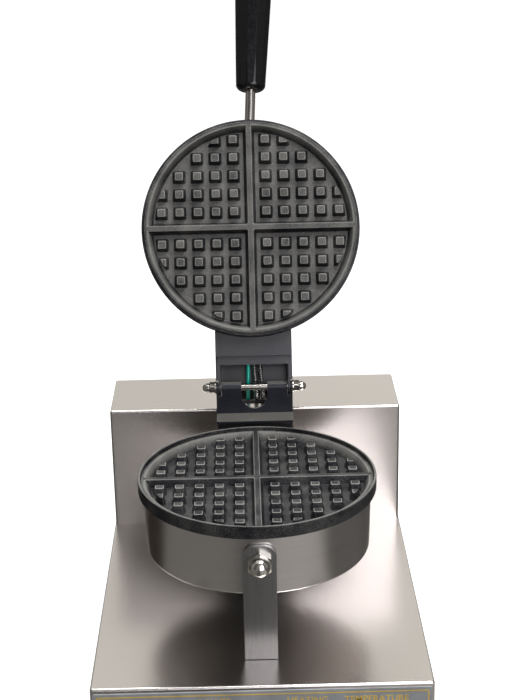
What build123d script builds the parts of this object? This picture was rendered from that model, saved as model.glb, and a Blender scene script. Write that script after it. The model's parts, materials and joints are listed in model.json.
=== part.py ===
from build123d import *
from math import atan, cos, degrees, hypot, radians, sin, tan
import os

os.makedirs("parts", exist_ok=True)

# A commercial round waffle baker, lid open. Millimetres, X across, Y to the back, Z up from the table.
# Everything is drawn about the axis of the plates, with the lid closed. save() opens the lid and
# moves each piece so that the origin lies under the middle of the whole part.

# Driving dimensions
GRID = 16.0  # pitch of the waffle bumps
PLATE_Y = -83.5  # the plates' axis in the part's own frame
OPEN_ANGLE = 114.5  # how far the lid leans back from closed
HINGE_Y = 139.4
HINGE_Z = 226.4
SHEET = 1.2  # stainless sheet
PLATE_T = 2.0  # black steel of the hinge parts
GAP = 0.3  # between the closed plates, and beside moving parts
FEET_H = 12.0
BASE_W = 260.0
BASE_FRONT = -132.2
BASE_BACK = 222.4
BASE_TOP = 92.0
REAR_W = 258.4
REAR_FRONT = 144.3
REAR_TOP = 203.8
PARTING_Z = 204.3  # top of the lower plate's bars
PLATE_R = 96.0
CAVITY_R = 90.0
CAVITY_DEPTH = 7.1
DRUM_R = 91.6
DRUM_END_R = 90.4
DRUM_H = 50.0
FIT = 0.05  # radial clearance of a shaft in its hole

# Derived sizes
BASE_D = BASE_BACK - BASE_FRONT
BASE_MID_Y = (BASE_BACK + BASE_FRONT) / 2
FLOOR_Z = PARTING_Z - CAVITY_DEPTH
BUMP_H = CAVITY_DEPTH - 0.7
BUMP_FOOT = 10.7
BUMP_TOP = 7.0
BAND_BOTTOM = PARTING_Z - 7.9
LIP_TOP = PARTING_Z + 2.9
BOSS_Z = PARTING_Z - 14.3
UPPER_PARTING_Z = PARTING_Z + GAP
MIRROR_Z = PARTING_Z + UPPER_PARTING_Z  # a height z on the lower half is MIRROR_Z - z on the upper
UPPER_BAND_TOP = 215.5
DRUM_BOTTOM = BAND_BOTTOM - DRUM_H
UPPER_DRUM_TOP = UPPER_BAND_TOP + DRUM_H

front = Plane.XZ.offset(-BASE_FRONT)  # the base's front face, with its normal to the front
side = Plane.YZ  # its normal is +X


def save(piece, name, lid=False):
    """Open a lid piece about the hinge, set it in the part's frame, label it and write it."""
    if lid:
        piece = piece.rotate(Axis((0, HINGE_Y, HINGE_Z), (1, 0, 0)), -OPEN_ANGLE)
    piece = piece.moved(Location((0, PLATE_Y, 0)))
    piece.label = name
    export_step(piece, f"parts/{name}.step")


def at_height(z):
    """A level sketch plane that faces up."""
    return Plane.XY.offset(z)


def facing_down(z):
    """A level sketch plane that faces down."""
    return Plane(origin=(0, 0, z), x_dir=(1, 0, 0), z_dir=(0, 0, -1))


def hinge_point(u, v):
    """A point of the closed lid as (y, z): u towards the handle and v up from the hinge axis."""
    return (HINGE_Y - u, HINGE_Z + v)


def opened(x, u, v):
    """The same lid point in space with the lid open."""
    turn = radians(OPEN_ANGLE)
    y = HINGE_Y - u * cos(turn) + v * sin(turn)
    z = HINGE_Z + u * sin(turn) + v * cos(turn)
    return (x, y, z)


def lead_radii(points):
    """The largest tangent arcs that the runs of a lead allow."""
    radii = []
    for before, here, after in zip(points, points[1:], points[2:]):
        run_in = Vector(*here) - Vector(*before)
        run_out = Vector(*after) - Vector(*here)
        turn = radians(run_in.get_angle(run_out))
        radii.append(0.45 * min(run_in.length, run_out.length) / tan(turn / 2))
    return radii


def lead(points, radius):
    """A round lead swept along straight runs joined by tangent arcs."""
    with BuildPart() as tube:
        with BuildLine() as route:
            FilletPolyline(*points, radius=lead_radii(points))
        with BuildSketch(Plane(origin=route.line @ 0, z_dir=route.line % 0)):
            Circle(radius)
        sweep()
    return tube.part


# ---------------------------------------------------------------- base cabinet
SWITCH_X = 0.0
TIMER_X = -86.0
THERMOSTAT_X = 86.0
LAMP_X = 36.0
KNOB_Z = 47.0
LAMP_Z = 58.0
SPINDLE_HOLE_R = 5.0
CONTROL_SCREW_SPACING = 28.0
LAMP_HOLE_R = 5.0
SWITCH_W = 27.0
SWITCH_H = 21.0
BRACKET_W = 26.0
BRACKET_T = 3.0
BRACKET_BACK = -DRUM_R - 0.1
GLAND_X = 92.0
GLAND_Z = 46.0
GLAND_HOLE_R = 8.0
SIDE_SCREW_Z = 19.0
SIDE_SCREW_Y = (-100.0, 45.0, 190.0)
PEDESTAL_W = 66.0
PEDESTAL_FRONT = 119.0
FRAME_SCREW_X = 24.0
FRAME_SCREW_Z = (112.0, 186.0)
SCREW_HOLE_R = 2.6
LEAD_HOLE_Z = 170.0
THROAT_W = 220.0  # opening between the base cabinet and the rear housing
THROAT_D = 60.0
THROAT_Y = 182.0
GROMMET_Y = 173.0
GROMMET_W = 28.0
GROMMET_D = 26.0

with BuildPart() as base_housing:
    with BuildSketch(at_height(FEET_H)):
        with Locations((0, BASE_MID_Y)):
            Rectangle(BASE_W, BASE_D)
    extrude(amount=BASE_TOP - FEET_H)
    fillet(base_housing.edges().filter_by(Axis.Z), 2.4)
    fillet(base_housing.faces().sort_by(Axis.Z)[-1].edges(), 2.0)
    offset(amount=-SHEET, openings=base_housing.faces().sort_by(Axis.Z)[0])
    with BuildSketch(at_height(BASE_TOP)):
        with Locations((0, BRACKET_BACK - BRACKET_T / 2)):
            Rectangle(BRACKET_W + 1.2, BRACKET_T + 1.6)
        with Locations((0, THROAT_Y)):
            Rectangle(THROAT_W, THROAT_D)
    extrude(amount=-2 * SHEET, mode=Mode.SUBTRACT)
    with BuildSketch(front):
        with Locations((SWITCH_X, KNOB_Z)):
            Rectangle(SWITCH_W, SWITCH_H)
        with Locations((-LAMP_X, LAMP_Z), (LAMP_X, LAMP_Z)):
            Circle(LAMP_HOLE_R)
        with Locations((TIMER_X, KNOB_Z), (THERMOSTAT_X, KNOB_Z)):
            Circle(SPINDLE_HOLE_R)
            with GridLocations(CONTROL_SCREW_SPACING, 0, 2, 1):
                Circle(2.2)
    extrude(amount=-2 * SHEET, mode=Mode.SUBTRACT)
    with BuildSketch(Plane.XZ.offset(-BASE_BACK)):
        with Locations((GLAND_X, GLAND_Z)):
            Circle(GLAND_HOLE_R)
    extrude(amount=2 * SHEET, mode=Mode.SUBTRACT)
    with BuildSketch(side.offset(-BASE_W)):
        with Locations(*[(y, SIDE_SCREW_Z) for y in SIDE_SCREW_Y]):
            Circle(2.1)
    extrude(amount=2 * BASE_W, mode=Mode.SUBTRACT)
save(base_housing.part, "base_housing")

FOOT_X = 108.0
FOOT_Y = (-108.0, 198.0)
TRAY_W = BASE_W - 2 * SHEET - 0.4
TRAY_D = BASE_D - 2 * SHEET - 0.4

with BuildPart() as bottom_plate:
    with BuildSketch(at_height(FEET_H)):
        with Locations((0, BASE_MID_Y)):
            Rectangle(TRAY_W, TRAY_D)
    extrude(amount=14)
    fillet(bottom_plate.edges().filter_by(Axis.Z), 2.0)
    offset(amount=-SHEET, openings=bottom_plate.faces().sort_by(Axis.Z)[-1])
    with BuildSketch(at_height(FEET_H)):
        with Locations(*[(x, y) for x in (-FOOT_X, FOOT_X) for y in FOOT_Y]):
            Circle(2.1)
        with Locations((0, BASE_MID_Y)):
            with GridLocations(90, 12, 2, 9):
                SlotOverall(60, 4)
    extrude(amount=2 * SHEET, mode=Mode.SUBTRACT)
    with BuildSketch(side.offset(-BASE_W)):
        with Locations(*[(y, SIDE_SCREW_Z) for y in SIDE_SCREW_Y]):
            Circle(1.7)
    extrude(amount=2 * BASE_W, mode=Mode.SUBTRACT)
save(bottom_plate.part, "bottom_plate")

with BuildPart() as side_screws:
    for facing in (-1, 1):
        for y in SIDE_SCREW_Y:
            outside = Plane(origin=(facing * BASE_W / 2, y, SIDE_SCREW_Z), z_dir=(facing, 0, 0))
            with BuildSketch(outside):
                Circle(3.8)
            extrude(amount=2.4)
            with BuildSketch(outside):
                Circle(1.65)
            extrude(amount=-9)
    fillet(side_screws.faces().filter_by(Axis.X).edges().filter_by(
        lambda edge: edge.geom_type == GeomType.CIRCLE and edge.radius > 3.5
        and abs(edge.center().X) > BASE_W / 2 + 1), 1.6)
save(side_screws.part, "side_screws")

with BuildPart() as rubber_feet:
    with Locations(*[(x, y) for x in (-FOOT_X, FOOT_X) for y in FOOT_Y]):
        Cone(10.5, 12.5, FEET_H, align=(Align.CENTER, Align.CENTER, Align.MIN))
        Cylinder(5.2, 5.5, align=(Align.CENTER, Align.CENTER, Align.MIN), mode=Mode.SUBTRACT)
        Cylinder(2.1, FEET_H, align=(Align.CENTER, Align.CENTER, Align.MIN), mode=Mode.SUBTRACT)
    fillet(rubber_feet.edges().group_by(Axis.Z)[0].filter_by(
        lambda edge: edge.radius > 8), 1.5)
save(rubber_feet.part, "rubber_feet")

with BuildPart() as foot_screws:
    with Locations(*[(x, y, 2.8) for x in (-FOOT_X, FOOT_X) for y in FOOT_Y]):
        Cylinder(4.0, 2.7, align=(Align.CENTER, Align.CENTER, Align.MIN))
        Cylinder(2.0, 15.0, align=(Align.CENTER, Align.CENTER, Align.MIN))
save(foot_screws.part, "foot_screws")

# ---------------------------------------------------------------- rear housing
COVER_W = 256.0
COVER_Z = (94.0, 202.0)
COVER_SCREW_X = 122.5
COVER_SCREW_Z = (101.0, 148.0, 195.0)
WINDOW_W = 234.0
WINDOW_Z = (108.0, 190.0)

with BuildPart() as rear_housing:
    with BuildSketch(at_height(BASE_TOP)):
        with Locations((0, (REAR_FRONT + BASE_BACK) / 2)):
            Rectangle(REAR_W, BASE_BACK - REAR_FRONT)
    extrude(amount=REAR_TOP - BASE_TOP)
    fillet(rear_housing.edges().filter_by(Axis.Z), 2.0)
    fillet(rear_housing.faces().sort_by(Axis.Z)[-1].edges(), 2.0)
    offset(amount=-SHEET, openings=rear_housing.faces().sort_by(Axis.Z)[0])
    with BuildSketch(Plane.XZ.offset(-BASE_BACK)):
        with Locations((0, sum(WINDOW_Z) / 2)):
            Rectangle(WINDOW_W, WINDOW_Z[1] - WINDOW_Z[0])
        with Locations(*[(x, z) for x in (-COVER_SCREW_X, COVER_SCREW_X) for z in COVER_SCREW_Z]):
            Circle(1.7)
    extrude(amount=2 * SHEET, mode=Mode.SUBTRACT)
    with BuildSketch(at_height(REAR_TOP)):
        with Locations((0, GROMMET_Y)):
            RectangleRounded(GROMMET_W, GROMMET_D, 5)
    extrude(amount=-2 * SHEET, mode=Mode.SUBTRACT)
    with BuildSketch(Plane.XZ.offset(-REAR_FRONT)):
        with Locations(*[(x, z) for x in (-FRAME_SCREW_X, FRAME_SCREW_X) for z in FRAME_SCREW_Z]):
            Circle(SCREW_HOLE_R)
        with Locations((0, LEAD_HOLE_Z)):
            Circle(9)
    extrude(amount=-2 * SHEET, mode=Mode.SUBTRACT)
save(rear_housing.part, "rear_housing")

with BuildPart() as rear_cover:
    with BuildSketch(Plane.XZ.offset(-BASE_BACK)):
        with Locations((0, sum(COVER_Z) / 2)):
            RectangleRounded(COVER_W, COVER_Z[1] - COVER_Z[0], 3)
            with GridLocations(80, 9, 2, 7):
                SlotOverall(62, 3.6, mode=Mode.SUBTRACT)
        with Locations(*[(x, z) for x in (-COVER_SCREW_X, COVER_SCREW_X) for z in COVER_SCREW_Z]):
            Circle(2.1, mode=Mode.SUBTRACT)
    extrude(amount=-SHEET)
save(rear_cover.part, "rear_cover")

with BuildPart() as cover_screws:
    for x in (-COVER_SCREW_X, COVER_SCREW_X):
        for z in COVER_SCREW_Z:
            outside = Plane(origin=(x, BASE_BACK + SHEET, z), z_dir=(0, 1, 0))
            with BuildSketch(outside):
                Circle(3.8)
            extrude(amount=2.4)
            with BuildSketch(outside):
                Circle(1.65)
            extrude(amount=-9)
    fillet(cover_screws.edges().filter_by(GeomType.CIRCLE).group_by(Axis.Y)[-1], 1.6)
save(cover_screws.part, "cover_screws")

with BuildPart() as wire_grommet:
    with BuildSketch(at_height(REAR_TOP)):
        with Locations((0, GROMMET_Y)):
            RectangleRounded(GROMMET_W + 4, GROMMET_D + 4, 7)
    extrude(amount=1.6)
    fillet(wire_grommet.edges().group_by(Axis.Z)[-1], 1.2)
    with BuildSketch(at_height(REAR_TOP)):
        with Locations((0, GROMMET_Y)):
            RectangleRounded(GROMMET_W - 0.1, GROMMET_D - 0.1, 4.9)
    extrude(amount=-4.0)
    with BuildSketch(at_height(REAR_TOP - 5)):
        with Locations((0, GROMMET_Y)):
            RectangleRounded(GROMMET_W - 3, GROMMET_D - 3, 3.5)
    extrude(amount=10, mode=Mode.SUBTRACT)
save(wire_grommet.part, "wire_grommet")

# ---------------------------------------------------------------- control panel and its pieces
PANEL_T = 0.8
PANEL_W = 256.4
PANEL_Z = (15.0, 88.4)
PANEL_FACE = BASE_FRONT - PANEL_T
panel = Plane.XZ.offset(-PANEL_FACE)

with BuildPart() as control_panel:
    with BuildSketch(front):
        with Locations((0, sum(PANEL_Z) / 2)):
            RectangleRounded(PANEL_W, PANEL_Z[1] - PANEL_Z[0], 1.5)
        with Locations((SWITCH_X, KNOB_Z)):
            Rectangle(SWITCH_W, SWITCH_H, mode=Mode.SUBTRACT)
        with Locations((-LAMP_X, LAMP_Z), (LAMP_X, LAMP_Z)):
            Circle(LAMP_HOLE_R, mode=Mode.SUBTRACT)
        with Locations((TIMER_X, KNOB_Z), (THERMOSTAT_X, KNOB_Z)):
            Circle(SPINDLE_HOLE_R, mode=Mode.SUBTRACT)
            with GridLocations(CONTROL_SCREW_SPACING, 0, 2, 1):
                Circle(2.2, mode=Mode.SUBTRACT)
    extrude(amount=PANEL_T)
save(control_panel.part, "control_panel")

BEZEL_T = 2.0
ROCKER_W = 19.0
ROCKER_R = 8.0
ROCKER_PIVOT = PANEL_FACE + 5.5
ROCKER_TILT = 11.0
PIVOT_R = 1.5

with BuildPart() as switch_frame:
    with BuildSketch(panel):
        with Locations((SWITCH_X, KNOB_Z)):
            RectangleRounded(SWITCH_W + 4, SWITCH_H + 4, 1.5)
    extrude(amount=BEZEL_T)
    fillet(switch_frame.faces().sort_by(Axis.Y)[0].edges(), 0.8)
    with BuildSketch(panel):
        with Locations((SWITCH_X, KNOB_Z)):
            Rectangle(SWITCH_W - 0.2, SWITCH_H - 0.2)
    extrude(amount=-24)
    with BuildSketch(panel.offset(5)):
        with Locations((SWITCH_X, KNOB_Z)):
            Rectangle(ROCKER_W + 0.8, 2 * ROCKER_R + 2.8)
    extrude(amount=-21, mode=Mode.SUBTRACT)
    with BuildSketch(side.offset(-ROCKER_W / 2 - 2.4)):
        with Locations((ROCKER_PIVOT, KNOB_Z)):
            Circle(PIVOT_R + FIT)
    extrude(amount=ROCKER_W + 4.8, mode=Mode.SUBTRACT)
    with BuildSketch(panel.offset(-24)):
        with Locations((SWITCH_X, KNOB_Z)):
            with GridLocations(7, 0, 3, 1):
                Rectangle(0.8, 6.3)
    extrude(amount=-8)
save(switch_frame.part, "switch_frame")

with BuildPart() as switch_rocker:
    with BuildSketch(side.offset(-ROCKER_W / 2)):
        with BuildLine():
            Polyline((ROCKER_PIVOT - 5.2, KNOB_Z), (ROCKER_PIVOT - 6.9, KNOB_Z + ROCKER_R - 0.4),
                     (ROCKER_PIVOT - 2.0, KNOB_Z + ROCKER_R - 0.4), (ROCKER_PIVOT + 3.0, KNOB_Z + 4.0),
                     (ROCKER_PIVOT + 3.0, KNOB_Z - 4.0), (ROCKER_PIVOT - 2.0, KNOB_Z - ROCKER_R + 0.4),
                     (ROCKER_PIVOT - 6.9, KNOB_Z - ROCKER_R + 0.4), close=True)
        make_face()
    extrude(amount=ROCKER_W)
    with BuildSketch(side.offset(-ROCKER_W / 2 - 2.0)):
        with Locations((ROCKER_PIVOT, KNOB_Z)):
            Circle(PIVOT_R)
    extrude(amount=ROCKER_W + 4.0)
    fillet(switch_rocker.faces().filter_by(GeomType.PLANE).sort_by(Axis.Y)[0:2].edges().filter_by(
        lambda edge: abs(edge.center().X) > ROCKER_W / 2 - 0.1), 0.5)
tilted_rocker = switch_rocker.part.rotate(
    Axis((0, ROCKER_PIVOT, KNOB_Z), (1, 0, 0)), ROCKER_TILT)
save(tilted_rocker, "switch_rocker")

SPINDLE_R = 3.0
BUSH_R = SPINDLE_HOLE_R - 0.2
CONTROL_BACK = BASE_FRONT + SHEET  # where a control sits against the inside of the front
KNOB_R = 20.0
KNOB_L = 17.0
KNOB_BACK = PANEL_FACE - 1.2


def control_case(x, width, height, depth):
    """A mechanical control behind the panel: case, threaded bush and blade terminals."""
    inside = Plane.XZ.offset(-CONTROL_BACK)
    with BuildPart() as case:
        with BuildSketch(inside):
            with Locations((x, KNOB_Z)):
                RectangleRounded(width, height, 3)
        extrude(amount=-depth)
        fillet(case.faces().sort_by(Axis.Y)[-1].edges(), 1.0)
        with BuildSketch(inside):
            with Locations((x, KNOB_Z)):
                Circle(BUSH_R)
        extrude(amount=SHEET + PANEL_T)
        with BuildSketch(Plane.XZ.offset(-CONTROL_BACK - depth)):
            with Locations((x, KNOB_Z)):
                with GridLocations(14, 16, 2, 2):
                    Rectangle(6.3, 0.8)
        extrude(amount=-8)
        with BuildSketch(Plane.XZ.offset(-PANEL_FACE)):
            with Locations((x, KNOB_Z)):
                Circle(SPINDLE_R + FIT)
        extrude(amount=-14, mode=Mode.SUBTRACT)
        with BuildSketch(inside):
            with Locations((x, KNOB_Z)):
                with GridLocations(CONTROL_SCREW_SPACING, 0, 2, 1):
                    Circle(1.8)
        extrude(amount=-8, mode=Mode.SUBTRACT)
    return case.part


def control_spindle(x):
    """The D-shaped spindle that turns in the control's bush."""
    with BuildPart() as spindle:
        with BuildSketch(Plane.XZ.offset(-PANEL_FACE - 12)):
            with Locations((x, KNOB_Z)):
                Circle(SPINDLE_R)
        extrude(amount=24)
        with BuildSketch(Plane.XZ.offset(-PANEL_FACE + 2.5)):
            with Locations((x, KNOB_Z - 4.5)):
                Rectangle(8, 4)
        extrude(amount=12, mode=Mode.SUBTRACT)
    return spindle.part


def control_knob(x):
    """A fluted knob with a skirt and a raised pointer, which points up at the start of its travel."""
    with BuildPart() as knob:
        with BuildSketch(Plane.XZ.offset(-KNOB_BACK)):
            with Locations((x, KNOB_Z)):
                Circle(KNOB_R)
        extrude(amount=4.0, taper=12)
        with BuildSketch(Plane.XZ.offset(-KNOB_BACK + 4.0)):
            with Locations((x, KNOB_Z)):
                Circle(KNOB_R - 4.5)
                with PolarLocations(KNOB_R - 2.6, 16, start_angle=90 + 11.25):
                    Circle(2.4, mode=Mode.SUBTRACT)
        extrude(amount=KNOB_L - 4.0, taper=4)
        fillet(knob.faces().sort_by(Axis.Y)[0].edges(), 0.8)
        with BuildSketch(Plane.XZ.offset(-KNOB_BACK + KNOB_L)):
            with Locations((x, KNOB_Z + 6.5)):
                Rectangle(1.8, 11)
        extrude(amount=0.8)
        with BuildSketch(Plane.XZ.offset(-KNOB_BACK)):
            with Locations((x, KNOB_Z)):
                Circle(SPINDLE_R + 0.02)
        extrude(amount=12, mode=Mode.SUBTRACT)
        with BuildSketch(Plane.XZ.offset(-KNOB_BACK + 2.0)):
            with Locations((x, KNOB_Z - 4.5)):
                Rectangle(5.6, 3.9)
        extrude(amount=9.9)
    return knob.part


save(control_case(TIMER_X, 46, 40, 34), "timer_body")
save(control_spindle(TIMER_X), "timer_shaft")
save(control_knob(TIMER_X), "timer_knob")
save(control_case(THERMOSTAT_X, 42, 38, 30), "thermostat_body")
save(control_spindle(THERMOSTAT_X), "thermostat_shaft")
save(control_knob(THERMOSTAT_X), "thermostat_knob")

with BuildPart() as control_screws:
    for x in (TIMER_X, THERMOSTAT_X):
        for dx in (-CONTROL_SCREW_SPACING / 2, CONTROL_SCREW_SPACING / 2):
            with BuildSketch(panel):
                with Locations((x + dx, KNOB_Z)):
                    Circle(1.75)
            extrude(amount=-9)
            with BuildSketch(panel):
                with Locations((x + dx, KNOB_Z)):
                    Circle(2.9)
            extrude(amount=0.9)
save(control_screws.part, "control_screws")


def lamp(x):
    """A panel lamp: domed lens with a rim, a barrel through the panel and two blades."""
    with BuildPart() as body:
        with BuildSketch(Plane.XZ.offset(-PANEL_FACE)):
            with Locations((x, LAMP_Z)):
                Circle(6.6)
        extrude(amount=1.6)
        with BuildSketch(Plane.XZ.offset(-PANEL_FACE + 1.6)):
            with Locations((x, LAMP_Z)):
                Circle(5.2)
        extrude(amount=3.2)
        fillet(body.faces().sort_by(Axis.Y)[0].edges(), 2.2)
        with BuildSketch(Plane.XZ.offset(-PANEL_FACE)):
            with Locations((x, LAMP_Z)):
                Circle(LAMP_HOLE_R - 0.1)
        extrude(amount=-20)
        with BuildSketch(Plane.XZ.offset(-PANEL_FACE - 20)):
            with Locations((x, LAMP_Z)):
                with GridLocations(5, 0, 2, 1):
                    Rectangle(0.8, 4.8)
        extrude(amount=-7)
    return body.part


save(lamp(-LAMP_X), "power_lamp")
save(lamp(LAMP_X), "heat_lamp")

# ---------------------------------------------------------------- wiring hardware in the base
BLOCK_Y = 178.0
BLOCK_Z = FEET_H + SHEET
BLOCK_TOP = BLOCK_Z + 18.0

with BuildPart() as terminal_block:
    with BuildSketch(at_height(BLOCK_Z)):
        with Locations((0, BLOCK_Y)):
            Rectangle(64, 22)
    extrude(amount=BLOCK_TOP - BLOCK_Z)
    with BuildSketch(at_height(BLOCK_TOP)):
        with Locations((0, BLOCK_Y)):
            with GridLocations(10, 0, 6, 1):
                Rectangle(7.5, 8, mode=Mode.ADD)
    extrude(amount=-5, mode=Mode.SUBTRACT)
save(terminal_block.part, "terminal_block")

with BuildPart() as cable_gland:
    with BuildSketch(Plane.XZ.offset(-BASE_BACK)):
        with Locations((GLAND_X, GLAND_Z)):
            RegularPolygon(12, 6)
    extrude(amount=-6)
    with BuildSketch(Plane.XZ.offset(-BASE_BACK - 6)):
        with Locations((GLAND_X, GLAND_Z)):
            Circle(10.5)
    extrude(amount=-12, taper=8)
    fillet(cable_gland.faces().sort_by(Axis.Y)[-1].edges(), 2.0)
    with BuildSketch(Plane.XZ.offset(-BASE_BACK)):
        with Locations((GLAND_X, GLAND_Z)):
            Circle(GLAND_HOLE_R - 0.1)
    extrude(amount=13)
    with BuildSketch(Plane.XZ.offset(-BASE_BACK + 14)):
        with Locations((GLAND_X, GLAND_Z)):
            Circle(4.25)
    extrude(amount=-40, mode=Mode.SUBTRACT)
save(cable_gland.part, "cable_gland")

with BuildPart() as gland_nut:
    with BuildSketch(Plane.XZ.offset(-BASE_BACK + SHEET)):
        with Locations((GLAND_X, GLAND_Z)):
            RegularPolygon(12, 6)
            Circle(GLAND_HOLE_R, mode=Mode.SUBTRACT)
    extrude(amount=5)
save(gland_nut.part, "gland_nut")

# ---------------------------------------------------------------- front support
STUD_Z = 175.8
STUD_R = 6.0
STUD_OUT = 8.5  # how far the stud stands out of the bracket, inside the domed nut
BRACKET_TOP = 190.0
NUT_M12_CORNER = 18.0 / 2 / cos(radians(30))
BRACKET_FACE = BRACKET_BACK - BRACKET_T

with BuildPart() as front_bracket:
    with BuildSketch(Plane.XZ.offset(-BRACKET_BACK)):
        with Locations((0, BASE_TOP - SHEET - BRACKET_T)):
            Rectangle(BRACKET_W, BRACKET_TOP - BASE_TOP + SHEET + BRACKET_T, align=(Align.CENTER, Align.MIN))
    extrude(amount=BRACKET_T)
    fillet(front_bracket.edges().filter_by(Axis.Y).group_by(Axis.Z)[-1], 9.0)
    with BuildSketch(at_height(BASE_TOP - SHEET)):
        with Locations((0, BRACKET_FACE)):
            Rectangle(BRACKET_W, 30, align=(Align.CENTER, Align.MIN))
    extrude(amount=-BRACKET_T)
    fillet(front_bracket.edges().filter_by(Axis.X).sort_by(
        lambda edge: edge.center().Y + edge.center().Z)[0], 2.8)
    chamfer(front_bracket.faces().sort_by(Axis.Y)[0].edges(), 0.35)
    with BuildSketch(Plane.XZ.offset(-BRACKET_BACK)):
        with Locations((0, STUD_Z)):
            Circle(STUD_R + 0.1)
    extrude(amount=BRACKET_T, mode=Mode.SUBTRACT)
save(front_bracket.part, "front_bracket")

with BuildPart() as front_stud:
    with BuildSketch(Plane.XZ.offset(-BRACKET_FACE + STUD_OUT)):
        with Locations((0, STUD_Z)):
            Circle(STUD_R)
    extrude(amount=-(BRACKET_T + STUD_OUT + 12.5))
    chamfer(front_stud.edges().filter_by(GeomType.CIRCLE), 0.8)
save(front_stud.part, "front_stud")


def acorn_nut(face, corner_r, hex_h, dome_r, height, bore_r, bore_depth):
    """A domed nut on the plane that it stands on: a turned outline cut to a hexagon, and a blind bore."""
    turning = Plane(origin=face.origin, x_dir=face.x_dir, z_dir=-face.y_dir)
    with BuildPart() as nut:
        with BuildSketch(turning):
            with BuildLine():
                Polyline((0, height), (0, 0), (corner_r - 0.2, 0), (corner_r - 0.2, hex_h - 1.2),
                         (corner_r - 1.8, hex_h), (dome_r, hex_h), (dome_r, height - dome_r))
                RadiusArc((dome_r, height - dome_r), (0, height), -dome_r)
            make_face()
        revolve(axis=Axis(face.origin, face.z_dir))
        with BuildSketch(face):
            RegularPolygon(corner_r, 6, rotation=30)
        extrude(amount=height, mode=Mode.INTERSECT)
        with BuildSketch(face):
            Circle(bore_r)
        extrude(amount=bore_depth, mode=Mode.SUBTRACT)
    return nut.part


acorn = acorn_nut(Plane(origin=(0, BRACKET_FACE, STUD_Z), x_dir=(1, 0, 0), z_dir=(0, -1, 0)),
                  NUT_M12_CORNER, 5.5, 8.2, 15.0, STUD_R + FIT, 9.5)
save(acorn, "front_acorn_nut")

with BuildPart() as front_inner_nut:
    with BuildSketch(Plane.XZ.offset(80.2)):
        with Locations((0, STUD_Z)):
            RegularPolygon(NUT_M12_CORNER, 6, rotation=30)
            Circle(STUD_R + FIT, mode=Mode.SUBTRACT)
    extrude(amount=9.0)
save(front_inner_nut.part, "front_inner_nut")

# ---------------------------------------------------------------- lower half of the iron
TIE_R = 4.0
TIE_HOLE_R = 4.1
CLAMP_R = 72.0
CLAMP_SCREW_R = 42.0
ELEMENT_R = 60.0
TUBE_R = 4.0
COLD_END_R = 3.3
TERMINAL_DROP = 26.0
ELEMENT_TURN = 330.0
WOOL_R = 80.0
CLAMP_T = 1.5
WOOL_Z = (150.0, 166.0)
ELEMENT_Z = BOSS_Z - TUBE_R - FIT
CLAMP_Z = ELEMENT_Z - TUBE_R - FIT  # top of the clamp plate
LEG_INSET = 3.2  # degrees from the ring's end to its leg
RING_START = 90 + (360 - ELEMENT_TURN) / 2
TERMINAL_ANGLES = (180 - RING_START - LEG_INSET, RING_START + LEG_INSET)
terminal_places = [(ELEMENT_R * cos(radians(a)), ELEMENT_R * sin(radians(a))) for a in TERMINAL_ANGLES]


def drum(open_z, end_z, end_face):
    """A drawn sheet pan with slightly drawn-in sides and a rounded end."""
    height = end_z - open_z
    inward = 1 if height > 0 else -1
    with BuildPart() as pan:
        with BuildSketch(Plane.XZ):
            with BuildLine():
                Polyline((0, open_z), (DRUM_R, open_z), (DRUM_END_R, end_z), (0, end_z), close=True)
            make_face()
        revolve(axis=Axis.Z)
        fillet(pan.edges().group_by(Axis.Z)[end_face], 2.2)
        offset(amount=-SHEET, openings=pan.faces().sort_by(Axis.Z)[-1 - end_face])
        with BuildSketch(at_height(end_z)):
            Circle(TIE_HOLE_R)
        extrude(amount=-2 * inward * SHEET, mode=Mode.SUBTRACT)
    return pan.part


LINK_W = 44.0
LINK_Z = (156.0, 184.0)
LINK_SCREW_X = 16.0

with BuildPart() as lower_drum:
    add(drum(BAND_BOTTOM, DRUM_BOTTOM, 0))
    with BuildSketch(Plane.XZ.offset(70)):
        with Locations((0, STUD_Z)):
            Circle(STUD_R + 0.1)
    extrude(amount=40, mode=Mode.SUBTRACT)
    with BuildSketch(Plane.XZ.offset(-70)):
        with Locations((0, LEAD_HOLE_Z)):
            Circle(8)
            with GridLocations(2 * LINK_SCREW_X, 0, 2, 1):
                Circle(SCREW_HOLE_R)
    extrude(amount=-40, mode=Mode.SUBTRACT)
save(lower_drum.part, "lower_drum")


def bump_places():
    """Where the bumps stand: whole pitches out from the bars, while their middle is in the cavity."""
    first = GRID * 0.88
    steps = [first + GRID * step for step in range(5)]
    lines = [-step for step in steps] + steps
    return [(x, y) for x in lines for y in lines if hypot(x, y) < CAVITY_R - 6]


def waffle_relief(floor):
    """The bumps and the cross of bars that stand on a cavity floor."""
    bump_taper = degrees(atan((BUMP_FOOT - BUMP_TOP) / 2 / BUMP_H))
    bar_foot, bar_top = 8.6, 5.0
    bar_taper = degrees(atan((bar_foot - bar_top) / 2 / CAVITY_DEPTH))
    with BuildPart() as relief:
        with BuildSketch(floor):
            with Locations(*bump_places()):
                Rectangle(BUMP_FOOT, BUMP_FOOT)
        extrude(amount=BUMP_H, taper=bump_taper)
        with BuildSketch(floor):
            Circle(CAVITY_R - 5.6)
        extrude(amount=BUMP_H, mode=Mode.INTERSECT)
        with BuildSketch(floor) as cross:
            Rectangle(2 * CAVITY_R + 8, bar_foot)
            Rectangle(bar_foot, 2 * CAVITY_R + 8)
            fillet(cross.vertices().filter_by(lambda v: hypot(v.X, v.Y) < bar_foot), 1.2)
        extrude(amount=CAVITY_DEPTH, taper=bar_taper)
    return relief.part


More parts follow.
